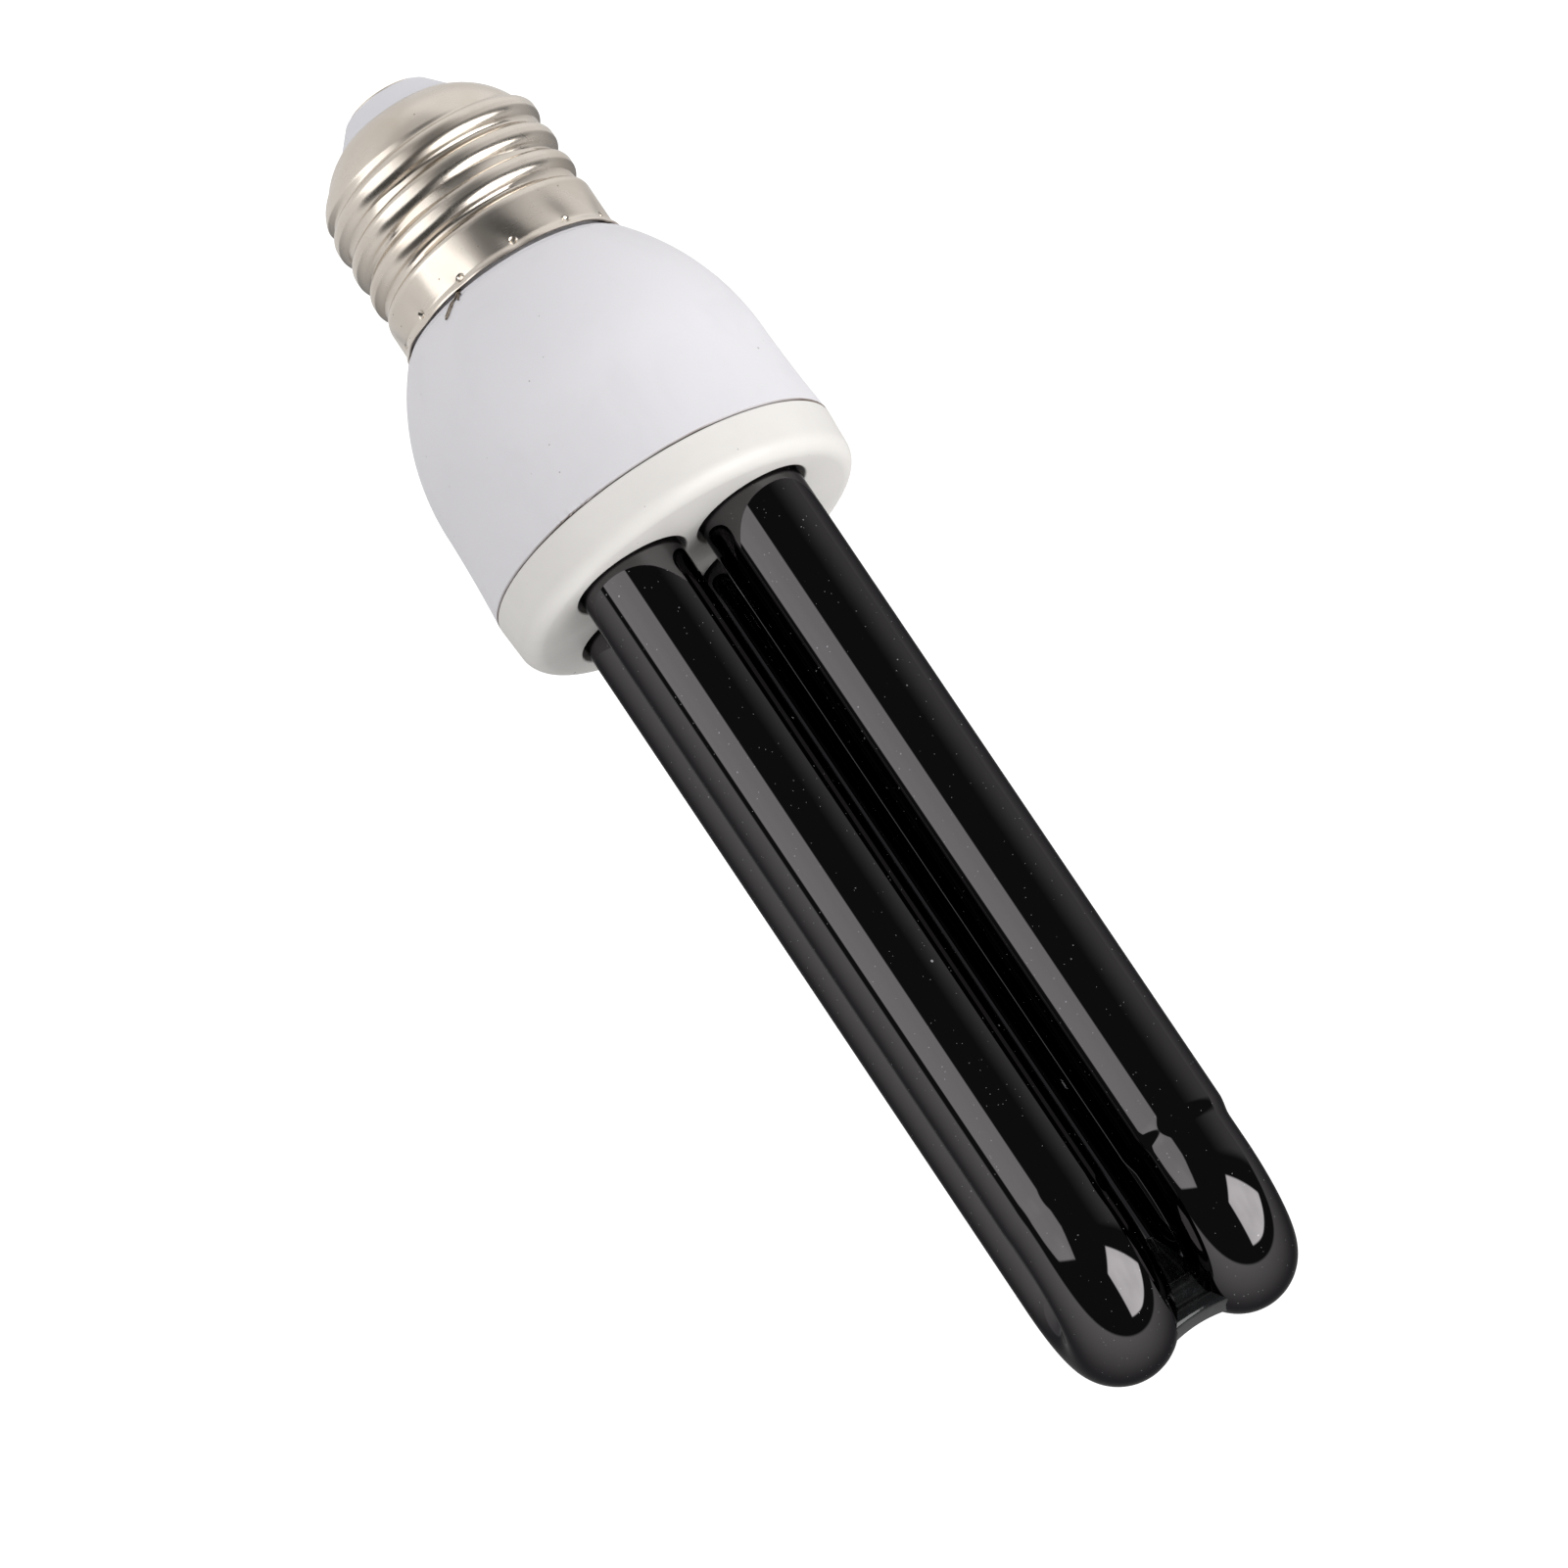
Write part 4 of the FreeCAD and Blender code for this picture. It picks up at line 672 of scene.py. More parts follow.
def shell_dents(cap, heights, angles, chance):
    """How far the crimping presses the skirt inwards."""
    pressed = np.zeros(np.broadcast(heights, angles).shape)
    for middle in dent_turns(cap):
        lift = SHELL_HIGH.z - cap.crimp_drop + chance.uniform(-DENT_SHIFT, DENT_SHIFT)
        depth = chance.uniform(*DENT_STRENGTH)
        across = angle_between(angles, middle + chance.uniform(-DENT_TURN, DENT_TURN)) * cap.thread_crest
        along = heights - lift
        reach = np.sqrt(across ** 2 + along ** 2)
        pit = 1.0 - eased(reach / cap.pit_radius)
        lean = chance.uniform(-DENT_LEAN, DENT_LEAN)
        fold = np.sqrt((across - lean * along) ** 2 + (0.55 * along) ** 2)
        dish = np.exp(-(fold / cap.dish_radius) ** 2)
        pressed += depth * (cap.pit_depth * pit + cap.dish_depth * dish)
    return np.minimum(pressed, cap.dent_limit)


# Columns and rows of the shell's mesh, and the zone in which its edge is uneven.
SHELL_COLUMNS, DENT_COLUMNS, DENT_SPAN = 200, 12, 0.055
THREAD_ROW, SKIRT_ROWS, INNER_SKIP = 0.125 * MM, 44, 12
RIM_ZONE = 1.6 * MM


def shell_grid(cap):
    """Points of the shell: its outer face from the mouth to the rim, then its inner face back."""
    chance = np.random.default_rng(SEED)
    finer = [(turn, DENT_SPAN, DENT_COLUMNS) for turn in dent_turns(cap)]
    angles = round_angles(SHELL_COLUMNS, finer)[None, :]
    low, high = SHELL_LOW.z, SHELL_HIGH.z
    heights = np.concatenate([np.arange(low, cap.skirt_start, THREAD_ROW),
                              np.linspace(cap.skirt_start, high, SKIRT_ROWS)])[:, None]
    radius = shell_radius(cap, heights, angles) - shell_dents(cap, heights, angles, chance)
    near_rim = eased((heights - high + RIM_ZONE) / RIM_ZONE)
    radius = radius + cap.rim_wave * ripple(chance, (2, 3, 5, 7, 12, 17), angles) * near_rim
    lifts = np.clip(0.45 + 0.4 * ripple(chance, (2, 3, 5, 8, 13), angles), 0.1, 1.0)
    lifted = heights - cap.rim_lift * lifts * near_rim
    aside = angle_between(angles, cap.burr_turn) * cap.thread_crest
    burr = np.exp(-(aside / (0.7 * MM)) ** 2 - ((heights - cap.burr_height) / (0.5 * MM)) ** 2)
    radius = radius + cap.burr_size * burr
    outer = turned(radius, angles, lifted)
    picks = np.unique(np.concatenate([np.arange(0, len(heights), INNER_SKIP), [len(heights) - 1]]))[::-1]
    inner = turned(radius[picks] - cap.sheet, angles, lifted[picks])
    edge = 0.5 * (outer[-1:] + inner[:1])
    edge[..., 2] += 0.05 * MM
    return np.concatenate([outer, edge, inner])


class LAMP_OT_screw_shell(bpy.types.Operator):
    """Build the rolled, threaded and crimped shell of the cap"""

    bl_idname = "lamp.screw_shell"
    bl_label = "Screw Shell"

    def execute(self, context):
        piece = build_mesh("rolled_screw_shell", [shell_grid(context.scene.lamp_cap)])
        finish_piece(piece, nickel_finish(), "screw_shell", 60.0)
        return {"FINISHED"}


class LAMP_OT_cap_end(bpy.types.Operator):
    """Build the insulator and the centre contact of the cap"""

    bl_idname = "lamp.cap_end"
    bl_label = "Insulator and Contact"

    def execute(self, context):
        cap = context.scene.lamp_cap
        angles = round_angles(160)
        base = CONTACT_HIGH.z - CONTACT_LOW.z
        thick = INSULATOR_LOW.z
        lip = cap.mouth_radius - 0.8 * cap.sheet
        insulator = rounded_outline([
            (cap.stem_radius, thick),
            (cap.insulator_top, thick, 0.55 * MM),
            (cap.mouth_radius - 0.02 * MM, SHELL_LOW.z),
            (lip, SHELL_LOW.z + cap.sheet),
            (lip + 1.7 * MM, SHELL_LOW.z + 1.7 * MM),
            (lip + 1.2 * MM, INSULATOR_HIGH.z),
            (cap.stem_radius + 1.85 * MM, base - 0.5 * MM),
            (cap.stem_radius, base - 0.5 * MM),
        ], 10)
        piece = build_mesh("glazed_insulator", [lathe_grid(insulator, angles)])
        finish_piece(piece, ceramic_finish(), "cap_insulator")
        contact = rounded_outline([
            (0.0, 0.12 * MM),
            (0.7 * MM, 0.12 * MM, 0.2 * MM),
            (1.15 * MM, 0.0, 0.25 * MM),
            (1.75 * MM, 0.0, 0.25 * MM),
            (2.1 * MM, 0.08 * MM, 0.2 * MM),
            (cap.contact_radius, 0.06 * MM, 0.2 * MM),
            (cap.contact_radius, thick, 0.05 * MM),
            (cap.stem_radius, thick),
            (cap.stem_radius, base - 0.5 * MM),
            (cap.stem_radius + 0.85 * MM, base - 0.5 * MM),
            (cap.stem_radius + 0.5 * MM, base),
            (0.65 * MM, base),
            (0.65 * MM, 2.0 * thick),
            (0.0, 2.0 * thick),
        ], 5)
        piece = build_mesh("contact_disc", [lathe_grid(contact, angles)], False)
        finish_piece(piece, contact_finish(), "centre_contact")
        return {"FINISHED"}


# Housing.

def dome_arc(housing):
    """Heights where the dome begins and ends, and the radius of its arc."""
    shoulder = SHELL_HIGH.z + housing.shoulder_rise
    body = UPPER_HIGH.z - housing.body_rise
    spread = housing.body_radius - housing.dome_foot
    return shoulder, body, (spread ** 2 + (body - shoulder) ** 2) / (2.0 * spread)


def upper_outline(housing):
    """Outline of the upper shell, from inside the neck over the dome to the seam and back."""
    rim = SHELL_HIGH.z + 0.1 * MM
    seam = UPPER_HIGH.z
    shoulder, body, bowl = dome_arc(housing)
    rise = body - shoulder
    centre = housing.body_radius - bowl
    inner_rise = rise - 0.7 * housing.wall
    inner_foot = centre + math.sqrt((bowl - housing.wall) ** 2 - inner_rise ** 2)
    rounding = housing.edge_rounding
    seam_radius = UPPER_HIGH.x
    pocket = housing.neck_radius - housing.dent_pocket
    points = [(housing.neck_bore, UPPER_LOW.z), (housing.neck_radius, UPPER_LOW.z),
              (housing.neck_radius, rim - 3.8 * MM), (pocket, rim - 3.4 * MM), (pocket, rim - 0.25 * MM),
              (housing.neck_radius, rim)]
    points += rounded_outline([
        (housing.neck_radius, rim), (housing.shoulder_radius, rim, rounding),
        (housing.shoulder_radius + 0.04 * MM, shoulder, 0.25 * MM), (housing.dome_foot, shoulder)], 6)[1:-1]
    dome_start = (housing.dome_foot, shoulder)
    points.append(dome_start)
    points += arc_points(dome_start, (housing.body_radius, body), bowl, 60)
    sweep_end = (seam_radius, seam)
    sweep = arc_points((housing.body_radius, body), sweep_end, -housing.body_sweep, 24)
    points += sweep[:-1]
    seam_edge = [sweep[-2], (seam_radius, seam, rounding), (seam_radius - 1.0 * MM, seam)]
    points += rounded_outline(seam_edge, 6)[1:]
    socket = housing.spigot_radius + 0.1 * MM
    socket_end = LOWER_LOW.z - 0.1 * MM
    inside = housing.body_radius - housing.wall
    points += [(socket, seam), (socket, socket_end), (inside, socket_end), (inside, body)]
    points += arc_points((inside, body), (inner_foot, body - inner_rise), -(bowl - housing.wall), 24)
    points.append((housing.neck_bore, rim))
    return points


FLASH_WAVES = (61, 97, 143, 211)


def seam_flash(grid, housing, chance):
    """Uneven moulding flash along the seam's edge, strongest on the front left."""
    radii, angles = polar(grid)
    near = np.exp(-((grid[..., 2] - UPPER_HIGH.z) / (0.35 * MM)) ** 2) * (radii > UPPER_HIGH.x - 0.5 * MM)
    rough = sum(np.sin(count * angles + chance.uniform(0.0, 6.3)) for count in FLASH_WAVES) / 4.0
    front_left = np.exp(-(angle_between(angles, housing.flash_turn) / 0.2) ** 2)
    out = housing.flash_size * np.clip(rough, -0.2, 1.0) * near * (0.12 + 0.88 * front_left)
    grid[..., 0] += out * np.cos(angles)
    grid[..., 1] += out * np.sin(angles)
    grid[..., 2] += 0.4 * out
    return grid


# Columns of the upper shell's mesh, and half the width of the wire's notch, as an angle.
HOUSING_COLUMNS, NOTCH_COLUMNS, NOTCH_SPAN = 300, 40, 0.09
NOTCH_HALF = 0.033


class LAMP_OT_upper_housing(bpy.types.Operator):
    """Build the domed upper shell of the housing"""

    bl_idname = "lamp.upper_housing"
    bl_label = "Upper Housing"

    def execute(self, context):
        housing = context.scene.lamp_housing
        chance = np.random.default_rng(SEED + 1)
        angles = round_angles(HOUSING_COLUMNS, [(housing.exit_turn, NOTCH_SPAN, NOTCH_COLUMNS)])
        grid = lathe_grid(upper_outline(housing), angles)
        radii, turns = polar(grid)
        low, high = SHELL_HIGH.z + 0.05 * MM, SHELL_HIGH.z + housing.shoulder_rise - 0.1 * MM
        notch = np.abs(angle_between(turns, housing.exit_turn)) < NOTCH_HALF
        notch &= (grid[..., 2] > low) & (grid[..., 2] < high)
        notch &= (radii > housing.neck_radius) & (radii < housing.shoulder_radius + 0.1 * MM)
        inward = np.where(notch, housing.neck_radius / np.maximum(radii, 1e-9), 1.0)
        grid[..., 0] *= inward
        grid[..., 1] *= inward
        piece = build_mesh("domed_housing", [seam_flash(grid, housing, chance)])
        material = plastic_finish("housing_plastic", "housing", 0.5, 0.12)
        finish_piece(piece, material, "upper_housing")
        return {"FINISHED"}


class LAMP_OT_lower_housing(bpy.types.Operator):
    """Build the lower shell with its band, face and four tube holes"""

    bl_idname = "lamp.lower_housing"
    bl_label = "Lower Housing"

    def execute(self, context):
        housing = context.scene.lamp_housing
        tube = context.scene.lamp_tube
        seam, face = UPPER_HIGH.z, LOWER_HIGH.z
        band = LOWER_HIGH.x - housing.band_inset
        inside = face - housing.face_wall
        bore = housing.spigot_radius - housing.spigot_wall
        gap = housing.seam_gap
        outline = rounded_outline([
            (bore, LOWER_LOW.z),
            (housing.spigot_radius, LOWER_LOW.z, 0.3 * MM),
            (housing.spigot_radius, seam + gap),
            (LOWER_HIGH.x, seam + gap, housing.edge_rounding),
            (band + 0.06 * MM, face - housing.corner_radius),
            (band, face, housing.corner_radius),
            (0.0, face),
            (0.0, inside),
            (bore, inside),
        ], 16)
        piece = build_mesh("collar_shell", [lathe_grid(outline, round_angles(288))])
        radius = tube.tube_radius + housing.hole_gap
        rounding = 1.6 * housing.edge_rounding
        hole = [(0.0, inside - 1.0 * MM), (radius, inside - 1.0 * MM), (radius, face - rounding)]
        hole += arc_points((radius, face - rounding), (radius + rounding, face), -rounding, 6)
        hole += [(radius + rounding, face + 1.0 * MM), (0.0, face + 1.0 * MM)]
        offset = TUBE_HIGH.x - tube.tube_radius
        cutters = []
        for x in (-offset, offset):
            for y in (-offset, offset):
                grid = lathe_grid(hole, round_angles(96)) + np.array([x, y, 0.0])
                cutters.append(build_mesh("hole_cutter", [grid], False))
        combine(piece, cutters, "DIFFERENCE")
        material = plastic_finish("collar_plastic", "collar", 0.34, 0.05)
        finish_piece(piece, material, "lower_housing", 30.0)
        return {"FINISHED"}


# Discharge tube.

# How much of the waist each leg has, by the side and the front or rear that it is on.
WAISTS = {(1, -1): 0.25, (-1, -1): 1.0, (1, 1): 0.0, (-1, 1): 0.0}
TUBE_COLUMNS, BEND_RINGS = 112, 61


def bend_grid(tube, side):
    """Rings of one bent tube, from one closed end over the bend to the other."""
    offset = TUBE_HIGH.x - tube.tube_radius
    foot, top = tube.leg_foot, tube.bend_height
    reach = TUBE_HIGH.z - tube.tube_radius - top
    waist = top - tube.waist_drop
    near = np.linspace(waist - 5.0 * MM, top, 44)
    far = np.linspace(foot + tube.foot_rounding, waist - 5.5 * MM, 16)
    turn = np.linspace(0.0, math.pi / 2.0, 8)
    cap_radii = tube.tube_radius - tube.foot_rounding * (1.0 - np.sin(turn))
    cap_heights = foot + tube.foot_rounding * (1.0 - np.cos(turn))
    around = np.linspace(0.0, 2.0 * math.pi, TUBE_COLUMNS, endpoint=False)
    rings = []

    def ring(y, z, lean, radius, squash=0.0):
        """One ring; lean is the direction of the path, 0 up and a half turn down."""
        out = radius * (1.0 - squash * np.maximum(np.sin(around), 0.0) ** 2)
        across = out * np.sin(around)
        rings.append(np.stack([side * offset + out * np.cos(around),
                               y - across * math.cos(lean), z + across * math.sin(lean)], axis=-1))

    for leg in (-1, 1):
        lean = 0.0 if leg < 0 else math.pi
        steps = [(0.0, foot)] + list(zip(cap_radii, cap_heights))
        for height in np.concatenate([far, near]):
            drawn = eased((height - waist) / tube.waist_length + 0.5)
            steps.append((tube.tube_radius - tube.waist_depth * WAISTS[(side, leg)] * drawn, height))
        if leg > 0:
            steps.reverse()
        for radius, height in steps:
            ring(leg * offset, height, lean, radius)
        if leg < 0:
            for turn_step in np.linspace(0.0, math.pi, BEND_RINGS)[1:-1]:
                flat = 0.012 * math.sin(turn_step) ** 2
                share = WAISTS[(side, -1)] + (WAISTS[(side, 1)] - WAISTS[(side, -1)]) * turn_step / math.pi
                thinner = tube.waist_depth * share
                rise = reach + thinner * math.sin(turn_step)
                lean = math.atan2(offset * math.sin(turn_step), reach * math.cos(turn_step))
                ring(-offset * math.cos(turn_step), top + rise * math.sin(turn_step), lean,
                     tube.tube_radius - thinner, flat)
    return np.stack(rings)


# Half the width and depth of a press seal, in millimetres.
SEAL_WIDTH, SEAL_DEPTH = 3.5, 1.2


class LAMP_OT_discharge_tube(bpy.types.Operator):
    """Build the two bent glass tubes, their bridge and press seals"""

    bl_idname = "lamp.discharge_tube"
    bl_label = "Discharge Tube"

    def execute(self, context):
        tube = context.scene.lamp_tube
        offset = TUBE_HIGH.x - tube.tube_radius
        piece = build_mesh("dark_glass_tube", [bend_grid(tube, 1), bend_grid(tube, -1)], False)
        bridge = lathe_grid([(0.0, -offset), (tube.bridge_radius, -offset), (tube.bridge_radius, offset),
                             (0.0, offset)], round_angles(40))
        bridge = np.stack([bridge[..., 2], bridge[..., 1] + offset, bridge[..., 0] + tube.bridge_height],
                          axis=-1)
        joined = [build_mesh("bridge", [bridge], False)]
        for x in (-offset, offset):
            seal = lathe_grid([(0.0, TUBE_LOW.z), (1.0, TUBE_LOW.z), (1.0, tube.leg_foot + 1.0 * MM),
                               (0.0, tube.leg_foot + 1.0 * MM)], round_angles(4) + math.pi / 4.0)
            width, depth = SEAL_WIDTH * MM * math.sqrt(2.0), SEAL_DEPTH * MM * math.sqrt(2.0)
            seal = np.stack([seal[..., 0] * width + x, seal[..., 1] * depth - offset, seal[..., 2]], axis=-1)
            joined.append(build_mesh("press_seal", [seal], False))
        combine(piece, joined, "UNION")
        finish_piece(piece, glass_finish(), "discharge_tube", 50.0)
        return {"FINISHED"}


# The tongue that runs up between the bends, and the lip that climbs them.
TONGUE_LENGTH, TONGUE_HALF, TONGUE_START = 1.6 * MM, 0.9 * MM, 6.4 * MM
LIP_HEIGHT, LIP_RISE = 2.5 * MM, 1.1 * MM
DROP_STATIONS = 33


class LAMP_OT_adhesive(bpy.types.Operator):
    """Build the drop of adhesive between the two bends"""

    bl_idname = "lamp.adhesive"
    bl_label = "Tip Adhesive"

    def execute(self, context):
        tube = context.scene.lamp_tube
        reach = TUBE_HIGH.x - 1.55 * tube.tube_radius
        front, back = DROP_LOW.y, DROP_HIGH.y
        foot, tip = DROP_LOW.z - TONGUE_LENGTH, DROP_HIGH.z
        outline = rounded_outline([
            (back, foot, 0.3 * MM),
            (0.75 * back, foot, 0.3 * MM),
            (0.7 * back, tip - 6.2 * MM, 0.5 * MM),
            (0.6 * front, tip - 5.9 * MM, 0.6 * MM),
            (0.86 * front, tip - 4.6 * MM, 1.2 * MM),
            (0.7 * front, tip - 3.2 * MM, 0.8 * MM),
            (0.93 * front, tip - 2.6 * MM, 0.4 * MM),
            (0.93 * front, tip - 1.3 * MM, 0.6 * MM),
            (0.8 * back, tip - 1.3 * MM, 0.8 * MM),
            (back, tip - 3.0 * MM, 0.6 * MM),
        ], 8)
        rings = []
        for station in np.linspace(-1.0, 1.0, DROP_STATIONS):
            spread = station ** 2
            ring = []
            for y, z in outline:
                rise = max((z - tip + LIP_HEIGHT) / LIP_HEIGHT, 0.0)
                width = reach if z > tip - TONGUE_START else TONGUE_HALF
                ring.append((station * width, y * (0.9 + 0.14 * spread), z + LIP_RISE * spread * rise))
            rings.append(ring)
        grid = np.array(rings)
        poles = [np.broadcast_to(ring.mean(axis=0), ring.shape) for ring in (grid[0], grid[-1])]
        grid = np.concatenate([poles[0][None], grid, poles[1][None]])
        piece = build_mesh("adhesive_drop", [grid], False)
        finish_piece(piece, adhesive_finish(), "tip_adhesive", 60.0)
        return {"FINISHED"}


WIRE_SIDES = 12


def wire_tube(points, radius):
    """Grid of a round wire along points."""
    points = [Vector(point) for point in points]
    rings = []
    normal = None
    for index, point in enumerate(points):
        way = (points[min(index + 1, len(points) - 1)] - points[max(index - 1, 0)]).normalized()
        normal = way.orthogonal() if normal is None else normal - way * normal.dot(way)
        normal.normalize()
        other = way.cross(normal)
        turns = [2.0 * math.pi * side / WIRE_SIDES for side in range(WIRE_SIDES)]
        rings.append([point + (normal * math.cos(turn) + other * math.sin(turn)) * radius for turn in turns])
    rings = [[points[0]] * WIRE_SIDES, *rings, [points[-1]] * WIRE_SIDES]
    return np.array([[tuple(corner) for corner in ring] for ring in rings])


def dome_radius(housing, height):
    """Outside of the upper shell's dome at a height."""
    shoulder, body, bowl = dome_arc(housing)
    return housing.body_radius - bowl + math.sqrt(bowl ** 2 - min(body - height, body - shoulder) ** 2)


# The wire's end and the second strand beside it: angle in degrees, radius and height over the skirt's
# edge in millimetres.
WIRE_END = ((-59.5, 12.9, -0.35), (-58.6, 13.4, 0.1), (-57.2, 13.7, 0.5), (-55.2, 13.9, 1.0),
            (-52.8, 14.0, 1.6), (-51.6, 14.0, 1.9), (-51.1, 14.0, 1.95), (-51.2, 14.0, 1.72),
            (-52.4, 14.0, 1.38), (-54.4, 13.9, 0.86), (-56.2, 13.7, 0.5))
WIRE_STRAND = ((-60.0, 13.0, -0.3), (-59.7, 13.4, 0.2), (-59.4, 13.66, 0.75), (-59.2, 13.86, 1.0))
STRAND_RADIUS = 0.12 * MM


def wire_path(housing, route):
    """Points of a wire's route, kept outside the dome."""
    points = []
    for degrees, out, lift in route:
        turn, radius, height = math.radians(degrees), out * MM, SHELL_HIGH.z + lift * MM
        if lift > 0.6:
            radius = max(radius, dome_radius(housing, height) + 0.16 * MM)
        points.append((radius * math.cos(turn), radius * math.sin(turn), height))
    return points


class LAMP_OT_neutral_wire(bpy.types.Operator):
    """Build the bare neutral wire, with the folded end that shows under the skirt's edge"""

    bl_idname = "lamp.neutral_wire"
    bl_label = "Neutral Wire"

    def execute(self, context):
        housing = context.scene.lamp_housing
        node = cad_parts["neutral_lead"]
        work = bmesh.new()
        work.from_mesh(node.data)
        outside = [v for v in work.verts if math.hypot(v.co.x, v.co.y) > housing.neck_radius + 0.3 * MM]
        bmesh.ops.delete(work, geom=outside, context="VERTS")
        mesh = bpy.data.meshes.new("neutral_wire")
        work.to_mesh(mesh)
        work.free()
        piece = bpy.data.objects.new("neutral_wire", mesh)
        context.scene.collection.objects.link(piece)
        grids = [wire_tube(wire_path(housing, route), STRAND_RADIUS) for route in (WIRE_END, WIRE_STRAND)]
        end = build_mesh("wire_end", grids, False)
        joined = bmesh.new()
        joined.from_mesh(piece.data)
        joined.from_mesh(end.data)
        joined.to_mesh(piece.data)
        joined.free()
        bpy.data.objects.remove(end)
        finish_piece(piece, wire_finish(), "neutral_lead", 60.0)
        return {"FINISHED"}


# Pieces that keep their packed meshes.

# Two colours, metallic, roughness, scale of the pattern and its stretch.
INNER_FINISHES = {
    "tube_cement": ((206, 202, 192), (188, 182, 170), 0.0, 0.7, 700.0, (1, 1, 1)),
    "circuit_board": ((176, 140, 84), (160, 122, 70), 0.0, 0.45, 260.0, (1, 6, 1)),
    "choke_core": ((62, 62, 66), (48, 48, 52), 0.0, 0.55, 1500.0, (1, 1, 1)),
    "choke_bobbin": ((34, 34, 36), (44, 44, 46), 0.0, 0.4, 400.0, (1, 1, 1)),
    "choke_coil": ((176, 96, 52), (140, 70, 38), 1.0, 0.3, 500.0, (1, 1, 9)),
    "driver_transformer": ((70, 110, 76), (58, 92, 64), 0.0, 0.5, 900.0, (1, 1, 1)),
    "smoothing_capacitor": ((40, 44, 60), (30, 33, 46), 0.0, 0.35, 300.0, (1, 1, 3)),
    "transistor": ((36, 36, 38), (28, 28, 30), 0.0, 0.45, 1200.0, (1, 1, 1)),
    "resonance_capacitor": ((150, 62, 42), (132, 52, 36), 0.0, 0.3, 500.0, (1, 1, 1)),
    "coupling_capacitor": ((150, 62, 42), (132, 52, 36), 0.0, 0.3, 500.0, (1, 1, 1)),
    "rectifier_diode": ((30, 30, 32), (40, 40, 42), 0.0, 0.4, 900.0, (1, 1, 1)),
    "fusible_resistor": ((96, 128, 112), (82, 112, 98), 0.0, 0.45, 700.0, (1, 1, 1)),
    "start_resistor": ((196, 172, 128), (180, 156, 112), 0.0, 0.45, 700.0, (1, 1, 1)),
    "trigger_diode": ((52, 84, 150), (44, 72, 132), 0.0, 0.3, 700.0, (1, 1, 1)),
    "wrap_pin": ((196, 186, 160), (176, 164, 136), 1.0, 0.3, 1500.0, (1, 1, 4)),
    "live_lead": ((206, 204, 196), (192, 190, 182), 0.0, 0.5, 900.0, (1, 1, 1)),
    "electrode_lead": ((190, 188, 184), (168, 166, 160), 1.0, 0.3, 1500.0, (1, 1, 1)),
}


class LAMP_OT_inner_pieces(bpy.types.Operator):
    """Give the circuit, its wires and the cement their finishes"""

    bl_idname = "lamp.inner_pieces"
    bl_label = "Inner Pieces"

    def execute(self, context):
        made = {}
        for name, node in sorted(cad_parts.items()):
            if node.hide_render:
                continue
            kind = next(key for key in INNER_FINISHES if name.startswith(key))
            if kind not in made:
                made[kind] = inner_finish(kind + "_finish", *INNER_FINISHES[kind])
            node.data.materials.clear()
            node.data.materials.append(made[kind])
        return {"FINISHED"}


# Stage.

def camera_axes(stage):
    """Directions to the camera, to the lamp's right and up along its axis, as the camera sees them."""
    azimuth, elevation = stage.azimuth, stage.elevation
    back = Vector((math.sin(azimuth) * math.cos(elevation), -math.cos(azimuth) * math.cos(elevation),
                   math.sin(elevation)))
    side = Vector((math.cos(azimuth), math.sin(azimuth), 0.0))
    return back, side, back.cross(side)


def add_camera(stage):
    """The camera at the photograph's view."""
    back, side, along = camera_axes(stage)
    right = math.cos(stage.roll) * side + math.sin(stage.roll) * along
    up = math.cos(stage.roll) * along - math.sin(stage.roll) * side
    target = side * stage.target_side + Vector((0.0, 0.0, stage.target_height))
    data = bpy.data.cameras.new("photo_camera")
    data.lens = stage.lens
    data.clip_start = 0.05
    data.clip_end = 60.0
    camera = bpy.data.objects.new("photo_camera", data)
    axes = Matrix((right, up, back)).transposed().to_4x4()
    camera.matrix_world = Matrix.Translation(target + back * stage.distance) @ axes
    bpy.context.scene.collection.objects.link(camera)
    bpy.context.scene.camera = camera


def light_kinds(finish):
    """Rays from the camera, and rays mirrored or let through by the lamp."""
    path = finish.add("ShaderNodeLightPath")
    names = {signal.socket.name: signal for signal in path}
    mirrored = names["Is Glossy Ray"].math("MAXIMUM", names["Is Transmission Ray"])
    return names["Is Camera Ray"], mirrored


def direction(stage, right, up):
    """A direction from the lamp, by angles in degrees: right of the camera with the cap held up, and up."""
    turn = stage.azimuth - math.pi / 2.0 - math.radians(right)
    lift = math.radians(up)
    return Vector((math.cos(turn) * math.cos(lift), math.sin(turn) * math.cos(lift), math.sin(lift)))


def inside(finish, vector, corners):
    """1 for directions within a polygon of directions, else 0."""
    middle = sum(corners, Vector())
    result = 1.0
    for first, second in zip(corners, corners[1:] + corners[:1]):
        normal = first.cross(second).normalized()
        if normal.dot(middle) < 0.0:
            normal.negate()
        result = finish.step(finish.dot(vector, normal), -0.02, 0.02) * result
    return result


# Corners of the two soft boxes, in degrees: right of the camera with the cap held up, and up.
STRIP_BOX = ((-24.0, 8.0), (-55.0, -1.5), (-79.0, -47.0), (8.5, -39.0))
KEY_BOX = ((41.0, 11.5), (93.0, 17.0), (82.0, 56.5), (44.0, 73.0), (18.0, 32.4))


